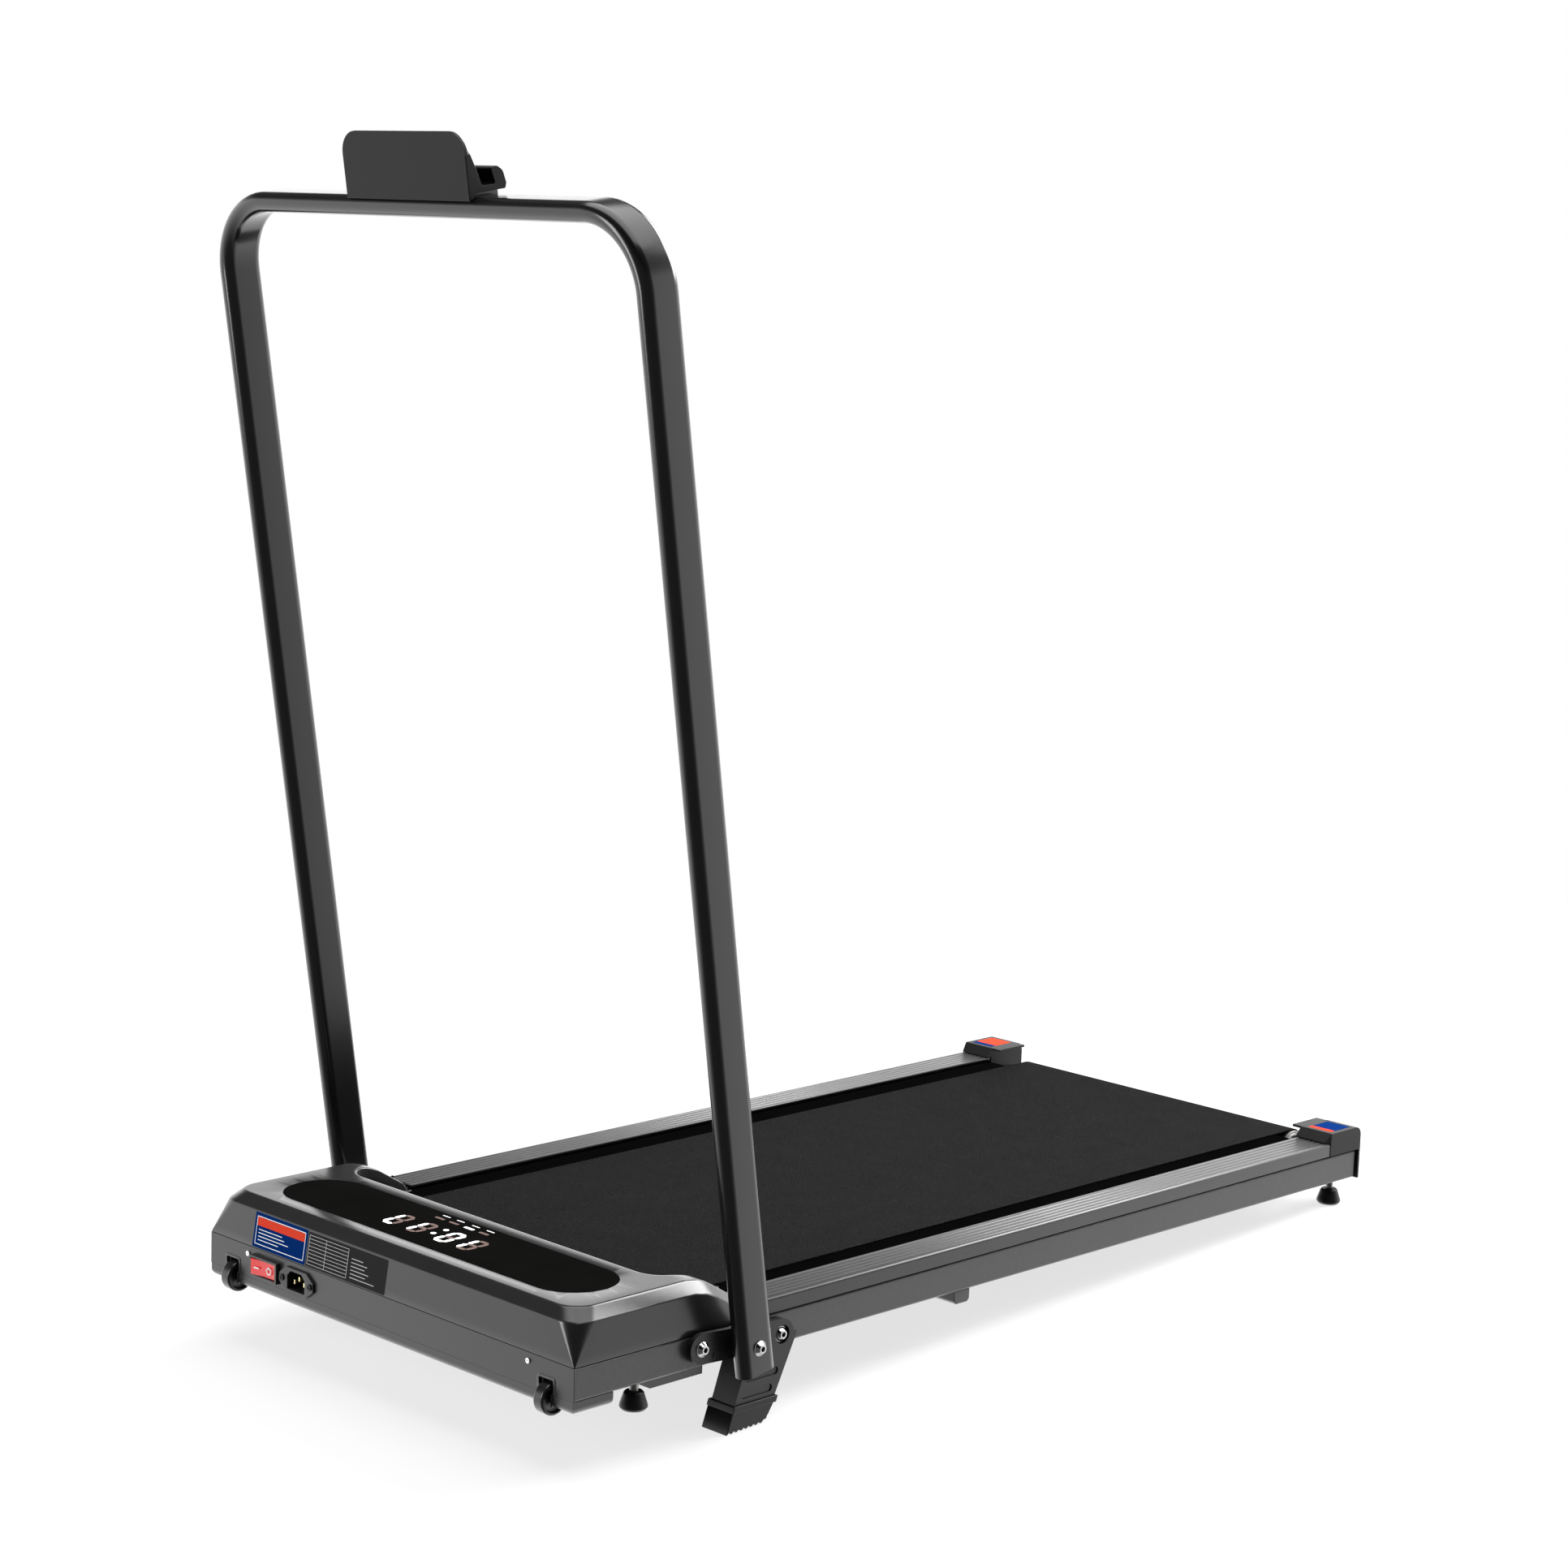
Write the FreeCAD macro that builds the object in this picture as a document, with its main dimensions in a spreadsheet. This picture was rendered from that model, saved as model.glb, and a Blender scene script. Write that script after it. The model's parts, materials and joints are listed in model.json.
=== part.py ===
import FreeCAD, Part
import math
import os
import re

import Sketcher

from FreeCAD import Placement, Rotation, Vector

# A folding walking treadmill: a steel frame with a belt running over a board and two rollers,
# a motor under a hood at the front, a U-shaped handrail with a phone holder, and stand legs
# that lift the front.  Everything is drawn in the deck's own frame: X across, Y from the
# front face to the rear, Z square to the deck.  At the end each sub-part is tilted by the
# incline that the legs give and set down on the floor.

doc = FreeCAD.newDocument("treadmill")

# The sizes that drive the model.  Each can be set by itself.
SIZES = {
    # steel frame
    "deck_long": 1085.0, "rail_out": 250.0, "rail_wide": 25.0, "rail_low": 30.0,
    "rail_tall": 29.2, "rail_wall": 1.8, "front_thick": 2.0, "front_flange": 14.0,
    "cross_gap": 2.3, "cross_tall": 15.0, "cross_wide": 30.0, "cross_wall": 1.5,
    "cross_inset": 20.0, "under_bar_y": 468.0, "under_bar_wide": 21.0,
    "under_bar_tall": 12.6, "under_bar_corner": 3.0, "weld_gap": 0.4,
    # deck board, cushions and side skirts
    "board_gap": 3.0, "board_thick": 12.0, "board_clear": 1.4, "board_rear_gap": 9.0,
    "skirt_proud": 2.0, "deck_show": 29.2, "skirt_rise": 2.9, "skirt_shadow": 1.2,
    "skirt_wall": 3.0, "skirt_step": 4.0, "groove_wide": 1.4, "groove_deep": 0.8,
    "groove_pitch": 6.2, "groove_start": 5.0, "cushion_half": 14.0, "cushion_inset": 20.0,
    # walking belt and rollers
    "belt_thick": 1.6, "belt_inset": 2.6, "belt_gap": 0.1, "return_gap": 0.1,
    "roller_r": 19.0, "roller_wall": 2.5, "roller_clear": 10.3, "rear_roller_inset": 21.0,
    "axle_r": 6.0, "axle_gap": 0.1, "bearing_r": 14.0, "bearing_wide": 8.0,
    "bearing_inset": 4.0, "hub_deep": 22.0, "block_wide": 18.0, "block_long": 24.0,
    "block_tall": 18.0, "tension_r": 3.0, "tension_head_r": 5.0,
    # drive
    "pulley_r": 24.0, "pulley_wide": 12.0, "pulley_clear": 5.0, "pulley_seat": 3.0,
    "flange_tall": 1.0, "flange_thick": 1.2, "motor_r": 29.0, "motor_long": 104.0,
    "motor_bevel": 4.0, "motor_rise": 11.4, "motor_head": 11.3, "motor_front_gap": 5.0,
    "motor_shaft_r": 5.0, "motor_pulley_r": 9.0, "flywheel_r": 26.0, "flywheel_wide": 10.0,
    "flywheel_gap": 4.0, "flywheel_room": 24.0, "drive_thick": 2.6, "drive_margin": 2.0,
    "shaft_gap": 0.05, "cradle_half": 16.0, "cradle_grip": 9.0, "cradle_inset": 8.0,
    # speed controller
    "pcb_gap": 42.0, "pcb_long": 120.0, "pcb_front": 62.0, "pcb_deep": 22.0,
    "pcb_thick": 2.0, "pcb_post": 6.0, "sink_long": 28.0, "sink_tall": 21.0,
    "sink_fin": 2.0, "sink_pitch": 6.4,
    # hood, display and pan
    "hood_gap": 0.6, "hood_draft": 6.0, "hood_bevel": 10.5, "hood_chamfer": 10.0,
    "hood_slant": 5.6, "hood_front": 13.7, "hood_wall": 2.5, "tail_flat": 11.0,
    "tail_bend_r": 62.0, "tail_slope": 31.0, "tail_long": 78.0, "seam_gap": 1.0,
    "window_margin": 25.5, "window_back": 57.4, "window_r": 40.0, "window_thick": 2.4,
    "window_gap": 0.3, "window_lip": 3.0, "display_half": 100.0, "display_deep": 48.0,
    "digit_wide": 28.0, "digit_deep": 30.0, "digit_tall": 5.0, "digit_pitch": 34.0,
    "colon_gap": 10.0, "pan_gap": 4.5, "pan_wall": 1.6, "pan_inset": 1.0,
    "pan_rear_inset": 12.0, "pan_waist_gap": 20.1, "pan_step_gap": 21.6,
    "pan_rear_gap": 5.6, "pan_rear_long": 61.0, "pan_bend": 7.0,
    # controls on the front face
    "rocker_inset": 84.0, "rocker_up": 14.0, "bezel_wide": 40.0, "bezel_tall": 19.5,
    "bezel_proud": 4.5, "button_wide": 33.0, "button_tall": 14.5, "button_tilt": 6.0,
    "button_gap": 0.8, "switch_wall": 1.2, "switch_deep": 24.0, "hole_gap": 0.2,
    "rocker_pin_y": 2.0, "rocker_pin_r": 1.5,
    "inlet_inset": 130.4, "inlet_up": 13.0, "inlet_pitch": 40.0, "inlet_hollow_wide": 24.6,
    "inlet_hollow_tall": 17.0, "inlet_deep": 18.0, "inlet_proud": 2.5, "inlet_wall": 2.0,
    "inlet_key": 4.5, "face_screw_r": 1.6, "front_screw_inset": 57.0,
    "front_screw_down": 7.2,
    # wheels and feet
    "wheel_y": 4.8, "wheel_down": 4.8, "wheel_r": 14.5, "wheel_wide": 12.0,
    "wheel_side": 3.0, "wheel_axle_r": 3.0, "fork_thick": 1.8, "foot_front_y": 79.0,
    "foot_rear_inset": 24.0, "foot_drop": 25.5, "foot_tall": 16.0, "foot_r": 12.4,
    "foot_heel": 2.0, "stud_r": 4.0, "stud_up": 16.0,
    # hinge, stand leg and boot
    "pivot_y": 183.5, "pivot_up": 16.0, "bolt_front_off": -45.2, "bolt_front_up": 2.6,
    "bolt_rear_off": 48.5, "bolt_rear_up": -3.3, "rivet_off": -28.5, "rivet_up": -6.0,
    "rivet_r": 4.0, "plate_r": 13.5, "plate_gap": 3.0, "plate_thick": 4.5,
    "leg_thick": 2.6, "leg_gap": 0.1, "leg_wide": 28.2, "leg_head_front": 7.0,
    "leg_head_rear": 60.5, "leg_foot_front": -15.5, "leg_foot_rear": 29.5,
    "leg_drop": 63.5, "boot_tall": 23.0, "boot_wall": 1.6, "sole_thick": 2.4,
    "spacer_r": 9.0, "washer_r": 10.0,
    # handrail
    "tube_gap": 1.1, "tube_half": 9.0, "tube_flat": 21.0, "tube_wall": 1.5,
    "rail_lean": 9.2, "rail_reach": 961.0, "rail_below": 24.0, "bend_r": 64.0,
    "bolt_r": 4.0, "head_r": 6.8, "head_tall": 4.2, "pivot_gap": 0.06, "side_gap": 0.15,
    # phone holder
    "holder_half": 78.0, "holder_tall": 56.0, "holder_wall": 4.0, "holder_slot": 14.5,
    "holder_corner": 15.0, "holder_rise": 3.6, "holder_floor": 5.0, "holder_proud": 0.5,
    "holder_deep": 14.8, "saddle_inset": 8.0,
    # rear end caps
    "cap_long": 47.0, "cap_rise": 10.2, "cap_overlap": 0.6, "cap_proud": 0.5,
    "cap_tab": 11.0, "cap_gap": 3.0, "cap_back": 3.0, "cap_drop": 0.5, "cap_round": 9.0,
    "cap_wall": 2.4,
}

# The places and sizes that follow from them, each a formula.
PLACES = {
    # rails
    "rail_in": "rail_out - rail_wide",
    "rail_top": "rail_low + rail_tall",
    # belt, rollers and board: the stack starts from the belt's return run over the rails' foot
    "roller_z": "rail_low + return_gap + belt_thick + belt_gap + roller_r",
    "belt_top": "roller_z + roller_r + belt_gap + belt_thick",
    "board_top": "belt_top - belt_thick - belt_gap",
    "board_low": "board_top - board_thick",
    "cross_low": "roller_z - roller_r - belt_gap + cross_gap",
    # across the deck, from a rail inwards
    "block_in": "rail_in - block_wide",
    "pulley_out": "block_in - pulley_clear",
    "pulley_in": "pulley_out - pulley_wide",
    "roller_half": "pulley_in - pulley_seat",
    "belt_half": "roller_half - belt_inset",
    "skirt_in": "belt_half + deck_show",
    "skirt_out": "rail_out + skirt_proud",
    "skirt_top": "belt_top + skirt_rise",
    "board_half": "rail_in - board_gap",
    "board_edge": "board_half + skirt_step",
    "tension_x": "block_in + block_wide / 2",
    # motor bay, from the pan's floor up and from the front face back
    "pan_floor": "roller_z - pulley_r - belt_gap - drive_thick - pan_gap",
    "pan_low": "pan_floor - pan_wall",
    "motor_z": "pan_floor + motor_rise + motor_r",
    "motor_y": "front_flange + motor_front_gap + motor_r",
    "motor_out": "pulley_in - flywheel_room",
    "motor_in": "motor_out - motor_long",
    "front_roller_y": "motor_y + motor_r + roller_clear + belt_thick + belt_gap + roller_r",
    "rear_roller_y": "deck_long - rear_roller_inset",
    "board_front": "front_roller_y + pulley_r + drive_thick + board_clear",
    "board_rear": "rear_roller_y - roller_r - board_rear_gap",
    "cross_front_y": "board_front + cross_inset",
    "cross_rear_y": "board_rear - cross_inset - cross_wide",
    "cross_middle_y": "(cross_front_y + cross_rear_y) / 2",
    "pcb_right": "motor_in - pcb_gap",
    "pcb_left": "pcb_right - pcb_long",
    # hood and window
    "hood_low": "rail_top + hood_gap",
    "hood_top": "motor_z + motor_r + motor_head + hood_wall",
    "hood_shoulder": "hood_top - hood_chamfer",
    "hood_shoulder_half": "rail_out - hood_draft",
    "hood_top_half": "hood_shoulder_half - hood_bevel",
    "hood_rear": "front_roller_y + roller_r",
    "tail_bend": "hood_rear + tail_flat",
    "tail_end": "hood_rear + tail_long",
    "skirt_front": "tail_end + seam_gap",
    "window_half": "hood_top_half - window_margin",
    "window_y": "hood_rear - window_back",
    "display_top": "hood_top - hood_wall - window_gap - 1.7",
    # front face, wheels and feet
    "rocker_x": "rocker_inset - rail_out",
    "rocker_z": "rail_low + rocker_up",
    "switch_half": "button_wide / 2 + button_gap + switch_wall",
    "switch_half_tall": "button_tall / 2 + hole_gap + 0.4",
    "inlet_x": "inlet_inset - rail_out",
    "inlet_z": "rail_low + inlet_up",
    "inlet_half": "inlet_hollow_wide / 2 + inlet_wall",
    "inlet_half_tall": "inlet_hollow_tall / 2 + inlet_wall",
    "front_screw_x": "rail_out - front_screw_inset",
    "front_screw_z": "rail_top - front_screw_down",
    "wheel_x": "rail_in - wheel_wide / 2 - wheel_side",
    "wheel_z": "rail_low - wheel_down",
    "foot_x": "rail_out - rail_wide / 2",
    "foot_rear_y": "deck_long - foot_rear_inset",
    "foot_low": "rail_low - foot_drop",
    "pan_half": "rail_out - pan_inset",
    "pan_rear_half": "rail_out - pan_rear_inset",
    "pan_waist_half": "foot_x - foot_r - pan_waist_gap",
    "pan_front_long": "foot_front_y - foot_r - pan_step_gap",
    "pan_rear_start": "foot_front_y + foot_r + pan_rear_gap",
    "pan_long": "pan_rear_start + pan_rear_long",
    # hinge, leg and handrail
    "pivot_z": "rail_low + pivot_up",
    "bolt_front_y": "pivot_y + bolt_front_off",
    "bolt_front_z": "pivot_z + bolt_front_up",
    "bolt_rear_y": "pivot_y + bolt_rear_off",
    "bolt_rear_z": "pivot_z + bolt_rear_up",
    "plate_in": "rail_out + plate_gap",
    "plate_out": "plate_in + plate_thick",
    "leg_web": "plate_out + leg_gap",
    "leg_out": "leg_web + leg_thick",
    "leg_in": "leg_out - leg_wide",
    "boot_low": "rail_low - leg_drop",
    "boot_high": "boot_low + boot_tall",
    "tube_x": "plate_out + head_tall + tube_gap + tube_half",
    # rear end caps
    "cap_front": "deck_long - cap_long",
    "cap_rear": "deck_long + cap_gap",
    "cap_top": "skirt_top + cap_rise",
    "cap_in": "skirt_in - cap_overlap",
    "cap_out": "skirt_out + cap_proud",
    "cap_low": "rail_low - cap_drop",
}


def cells(text):
    """An expression with each plain word turned into the cell of that name."""
    def cell(match):
        word = match.group(0)
        return ("Places." if word in PLACES else "Sizes.") + word
    return re.sub(r"[A-Za-z_]\w*", cell, text)


def fill_sheet(name, rows, wording):
    """A sheet with one named cell for each row."""
    table = doc.addObject("Spreadsheet::Sheet", name)
    for line, (alias, value) in enumerate(rows.items(), 1):
        table.set("A%d" % line, alias)
        table.setAlias("B%d" % line, alias)
        table.set("B%d" % line, wording(value))
    doc.recompute()
    return table


sheet = fill_sheet("Sizes", SIZES, str)
places = fill_sheet("Places", PLACES, lambda formula: "=" + cells(formula))


def size(alias):
    """The number that a sheet holds under an alias."""
    return float((places if alias in PLACES else sheet).get(alias))


# The four blocks that hold the roller axles, gathered from both rollers, and the small
# screws of the front face, gathered from the inlet and the hood.
axle_blocks = []
face_screws = []

# Every finished sub-part, with the place of its own origin in the deck's frame, or None for
# a mirrored one, which takes its place from the piece it mirrors.
finished = []


def keep(thing, label, spot=Vector(0, 0, 0), turn=Rotation()):
    """Name a finished sub-part and note its place on the deck."""
    thing.Label = label
    finished.append((thing, Placement(spot, turn)))
    return thing


def mirrored(thing, label):
    """The same piece on the left-hand side."""
    twin = doc.addObject("Part::Mirroring", label)
    twin.Source = thing
    twin.Base = Vector(0, 0, 0)
    twin.Normal = Vector(1, 0, 0)
    twin.Label = label
    finished.append((twin, None))
    return twin


def twins(name, thing):
    """One sub-part that holds a right-hand piece and its mirror image."""
    twin = doc.addObject("Part::Mirroring", name + "_twin")
    twin.Source = thing
    twin.Base = Vector(0, 0, 0)
    twin.Normal = Vector(1, 0, 0)
    doc.recompute()
    return grouped(name, [thing, twin])


def pair(thing, name, spot=Vector(0, 0, 0), turn=Rotation()):
    """A right-hand piece and its mirrored left-hand twin."""
    keep(thing, name + "_right", spot, turn)
    mirrored(thing, name + "_left")


# ---------------------------------------------------------------- ways to make a piece

def origin_plane(body, role):
    """One of a body's own origin planes, by its role."""
    for feature in body.Origin.OriginFeatures:
        if feature.Role == role:
            return feature
    raise RuntimeError("no plane " + role)


def draw_outline(sketch, corners):
    """Close a polygon whose corners are pairs of expressions."""
    first = sketch.GeometryCount
    count = len(corners)
    for number in range(count):
        start = Vector(number, number * number, 0)
        end = Vector((number + 1) % count, ((number + 1) % count) ** 2, 0)
        sketch.addGeometry(Part.LineSegment(start, end), False)
    for number, (across, up) in enumerate(corners):
        here = first + number
        before = first + (number - 1) % count
        sketch.addConstraint(Sketcher.Constraint("Coincident", before, 2, here, 1))
        for kind, wording in (("DistanceX", across), ("DistanceY", up)):
            index = sketch.addConstraint(Sketcher.Constraint(kind, -1, 1, here, 1, 1.0))
            sketch.setExpression("Constraints[%d]" % index, cells(wording))


def sketch_on(body, role, offset):
    """A sketch on one of the body's planes, moved off it by an expression."""
    sketch = body.newObject("Sketcher::SketchObject", body.Name + "_sketch")
    sketch.AttachmentSupport = (origin_plane(body, role), [""])
    sketch.MapMode = "FlatFace"
    sketch.setExpression("AttachmentOffset.Base.z", cells(offset))
    return sketch


def padded(name, role, outlines, start, length):
    """A body padded from closed outlines.

    The plane is YZ_Plane, XY_Plane or XZ_Plane; start is where the pad begins along the
    third axis and length is how far it runs along that axis, both expressions."""
    body = doc.addObject("PartDesign::Body", name)
    flipped = role == "XZ_Plane"
    sketch = sketch_on(body, role, "-(%s)" % start if flipped else start)
    for corners in outlines:
        draw_outline(sketch, corners)
    pad = body.newObject("PartDesign::Pad", name + "_pad")
    pad.Profile = sketch
    pad.Reversed = flipped
    pad.setExpression("Length", cells(length))
    body.Tip = pad
    doc.recompute()
    return body


def turned(name, corners, upright=False):
    """A body turned about its own X axis, or its Z axis when upright.

    Corners are (along, radius) pairs of expressions, or (radius, up) when upright."""
    body = doc.addObject("PartDesign::Body", name)
    sketch = sketch_on(body, "XZ_Plane" if upright else "XY_Plane", "0")
    draw_outline(sketch, corners)
    spin = body.newObject("PartDesign::Revolution", name + "_turning")
    spin.Profile = sketch
    spin.ReferenceAxis = (sketch, ["V_Axis" if upright else "H_Axis"])
    spin.Angle = 360
    body.Tip = spin
    doc.recompute()
    return body


def rectangle(low, high, near, far):
    """Corners of a rectangle from low to high across and near to far up."""
    return [(low, near), (high, near), (high, far), (low, far)]


def block(name, across, along, up):
    """A box between three pairs of expressions."""
    box = doc.addObject("Part::Box", name)
    for edge, (low, high) in zip(("Length", "Width", "Height"), (across, along, up)):
        box.setExpression(edge, cells("(%s) - (%s)" % (high, low)))
    for axis, (low, high) in zip("xyz", (across, along, up)):
        box.setExpression("Placement.Base." + axis, cells(low))
    return box


def rod(name, axis, centre, radius, length):
    """A cylinder along X, Y or Z from a centre of three expressions."""
    bar = doc.addObject("Part::Cylinder", name)
    bar.setExpression("Radius", cells(radius))
    bar.setExpression("Height", cells(length))
    aim = {"x": Vector(1, 0, 0), "y": Vector(0, 1, 0), "z": Vector(0, 0, 1)}[axis]
    bar.Placement = Placement(Vector(0, 0, 0), Rotation(Vector(0, 0, 1), aim))
    for letter, wording in zip("xyz", centre):
        bar.setExpression("Placement.Base." + letter, cells(wording))
    return bar


def joined(name, pieces):
    """One solid from several that meet."""
    whole = doc.addObject("Part::MultiFuse", name)
    whole.Shapes = pieces
    whole.Refine = True
    doc.recompute()
    return whole


def grouped(name, pieces):
    """Several separate solids in one sub-part."""
    whole = doc.addObject("Part::Compound", name)
    whole.Links = pieces
    doc.recompute()
    return whole


def carved(name, base, tools):
    """A solid with other solids taken away, and a check that each took something."""
    current = base
    for number, tool in enumerate(tools):
        cut = doc.addObject("Part::Cut", "%s_%d" % (name, number))
        cut.Base = current
        cut.Tool = tool
        doc.recompute()
        if cut.Shape.Volume > current.Shape.Volume - 0.01:
            raise RuntimeError("%s: cut %d takes nothing" % (name, number))
        current = cut
    return current


def shaped(name, shape):
    """A sub-part whose shape is worked out here from the sheet's sizes."""
    thing = doc.addObject("Part::Feature", name)
    thing.Shape = shape
    return thing


def prism(points, direction):
    """A solid swept straight from a flat polygon."""
    closed = [Vector(*p) for p in points]
    closed.append(closed[0])
    return Part.Face(Part.makePolygon(closed)).extrude(direction)


def both_sides(shape):
    """A shape and its mirror image across the middle of the deck."""
    return [shape, shape.mirror(Vector(0, 0, 0), Vector(1, 0, 0))]


# ---------------------------------------------------------------- steel frame

def side_rails():
    """Two rectangular tubes, bored for the stud of each levelling foot."""
    outer = rectangle("rail_in", "rail_out", "rail_low", "rail_top")
    inner = rectangle("rail_in + rail_wall", "rail_out - rail_wall",
                      "rail_low + rail_wall", "rail_top - rail_wall")
    tube = padded("rail_tube", "XZ_Plane", [outer, inner], "front_thick",
                  "deck_long - front_thick")
    holes = [rod("stud_hole_%s" % spot, "z", ("foot_x", "foot_%s_y" % spot, "rail_low - 1"),
                 "stud_r + shaft_gap", "rail_wall + 2") for spot in ("front", "rear")]
    pair(carved("rail", tube, holes), "side_rail")


def front_beam():
    """The folded front plate, notched for the wheels and pierced for switch and inlet."""
    face = block("beam_face", ("-rail_out", "rail_out"), ("0", "front_thick"),
                 ("rail_low", "rail_top"))
    inside = "rail_in - weld_gap"
    low = block("beam_low", ("-(%s)" % inside, inside), ("0", "front_flange"),
                ("rail_low", "rail_low + front_thick"))
    high = block("beam_high", ("-(%s)" % inside, inside), ("0", "front_flange"),
                 ("rail_top - front_thick", "rail_top"))
    plate = joined("beam_plate", [face, low, high])
    cuts = []
    for side, sign in (("left", "-"), ("right", "")):
        middle = sign + "wheel_x"
        cuts.append(block("wheel_notch_" + side,
                          (middle + " - wheel_wide / 2 - wheel_side",
                           middle + " + wheel_wide / 2 + wheel_side"),
                          ("-1", "front_flange + 1"),
                          ("rail_low - 1", "wheel_z + wheel_r + wheel_side")))
    cuts.append(block("rocker_hole", ("rocker_x - switch_half - hole_gap",
                                       "rocker_x + switch_half + hole_gap"),
                      ("-1", "front_thick + 1"),
                      ("rocker_z - switch_half_tall - hole_gap",
                       "rocker_z + switch_half_tall + hole_gap")))
    half_wide = "(inlet_half + hole_gap)"
    half_tall = "(inlet_half_tall + hole_gap)"
    cuts.append(block("inlet_hole", ("inlet_x - " + half_wide, "inlet_x + " + half_wide),
                      ("-1", "front_thick + 1"),
                      ("inlet_z - " + half_tall, "inlet_z + " + half_tall)))
    for side, sign in (("left", "-"), ("right", "+")):
        cuts.append(rod("inlet_screw_hole_" + side, "y",
                        ("inlet_x %s inlet_pitch / 2" % sign, "-1", "inlet_z"),
                        "face_screw_r + 0.1",
                        "front_thick + 2"))
    keep(carved("beam", plate, cuts), "front_beam")


def cross_tubes():
    """Three tubes welded between the rails, inside the belt's loop."""
    tubes = []
    for name in ("front", "middle", "rear"):
        start = "cross_%s_y" % name
        outer = rectangle(start, start + " + cross_wide", "cross_low",
                          "cross_low + cross_tall")
        inner = rectangle(start + " + cross_wall", start + " + cross_wide - cross_wall",
                          "cross_low + cross_wall", "cross_low + cross_tall - cross_wall")
        tubes.append(padded("cross_" + name, "YZ_Plane", [outer, inner],
                            "-rail_in", "2 * rail_in"))
    keep(grouped("cross_group", tubes), "cross_tubes")
    bar = padded("under_bar", "YZ_Plane",
                 [[("under_bar_y", "rail_low"),
                   ("under_bar_y", "rail_low - under_bar_tall + under_bar_corner"),
                   ("under_bar_y + under_bar_corner", "rail_low - under_bar_tall"),
                   ("under_bar_y + under_bar_wide - under_bar_corner",
                    "rail_low - under_bar_tall"),
                   ("under_bar_y + under_bar_wide",
                    "rail_low - under_bar_tall + under_bar_corner"),
                   ("under_bar_y + under_bar_wide", "rail_low")]],
                 "-(rail_out - skirt_proud)", "2 * (rail_out - skirt_proud)")
    keep(bar, "under_bar")


# ---------------------------------------------------------------- deck

def deck():
    """The board, its rubber cushions and the ribbed skirts along both sides."""
    board = padded("board", "XY_Plane",
                   [rectangle("-board_half", "board_half", "board_front", "board_rear")],
                   "board_low", "board_thick")
    keep(board, "deck_board")
    cushions = []
    for place in ("front", "middle", "rear"):
        start = "cross_%s_y" % place
        for side in ("-", ""):
            middle = side + "(board_half - cushion_inset)"
            cushions.append(block("cushion_%s%s" % (place, "_left" if side else "_right"),
                                  (middle + " - cushion_half", middle + " + cushion_half"),
                                  (start + " + cross_wall",
                                   start + " + cross_wide - cross_wall"),
                                  ("cross_low + cross_tall", "board_low")))
    keep(grouped("cushions", cushions), "deck_cushions")
    profile = [("skirt_in", "board_top + belt_gap"), ("skirt_in", "skirt_top")]
    for rib in range(5):
        near = "skirt_in + groove_start + %d * groove_pitch" % rib
        far = near + " + groove_wide"
        profile += [(near, "skirt_top"), (near, "skirt_top - groove_deep"),
                    (far, "skirt_top - groove_deep"), (far, "skirt_top")]
    profile += [("skirt_out - 0.8", "skirt_top"), ("skirt_out", "skirt_top - 0.8"),
                ("skirt_out", "rail_top + skirt_shadow"),
                ("rail_out - skirt_proud", "rail_top + skirt_shadow"),
                ("rail_out - skirt_proud", "rail_top"), ("board_edge", "rail_top"),
                ("board_edge", "board_top + belt_gap")]
    hollow = rectangle("board_edge + skirt_wall", "skirt_out - skirt_wall - skirt_proud",
                       "rail_top + skirt_wall", "skirt_top - skirt_wall")
    skirt = padded("skirt", "XZ_Plane", [profile, hollow], "skirt_front",
                   "cap_front - skirt_front - weld_gap")
    pair(skirt, "side_skirt")


# ---------------------------------------------------------------- belts and rollers

def open_belt(first, first_r, second, second_r, thick, low_x, wide):
    """An open belt round two pulleys whose axes run along X, as one closed band."""
    def loop(extra):
        r1, r2 = first_r + extra, second_r + extra
        gap = second - first
        lean = math.asin((r1 - r2) / gap.Length)
        heading = math.atan2(gap.z, gap.y)

        def rim(centre, radius, angle):
            return centre + Vector(0, radius * math.cos(angle), radius * math.sin(angle))
        above = heading + math.pi / 2 - lean
        below = heading - math.pi / 2 + lean
        top_a, top_b = rim(first, r1, above), rim(second, r2, above)
        low_a, low_b = rim(first, r1, below), rim(second, r2, below)
        front = rim(first, r1, heading + math.pi)
        rear = rim(second, r2, heading)
        edges = [Part.LineSegment(top_a, top_b).toShape(),
                 Part.Arc(top_b, rear, low_b).toShape(),
                 Part.LineSegment(low_b, low_a).toShape(),
                 Part.Arc(low_a, front, top_a).toShape()]
        return Part.Face(Part.Wire(edges))
    band = loop(thick).cut(loop(0.0))
    solid = band.extrude(Vector(wide, 0, 0))
    solid.translate(Vector(low_x, 0, 0))
    return Part.makeSolid(solid.Shells[0]) if solid.ShapeType != "Solid" else solid


def walking_belt():
    """The belt: flat over the board, round both rollers and back beneath it."""
    level = size("roller_z")
    first = Vector(0, size("front_roller_y"), level)
    second = Vector(0, size("rear_roller_y"), level)
    inner = size("roller_r") + size("belt_gap")
    shape = open_belt(first, inner, second, inner, size("belt_thick"),
                      -size("belt_half"), 2 * size("belt_half"))
    keep(shaped("belt_shape", shape), "walking_belt")


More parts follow.
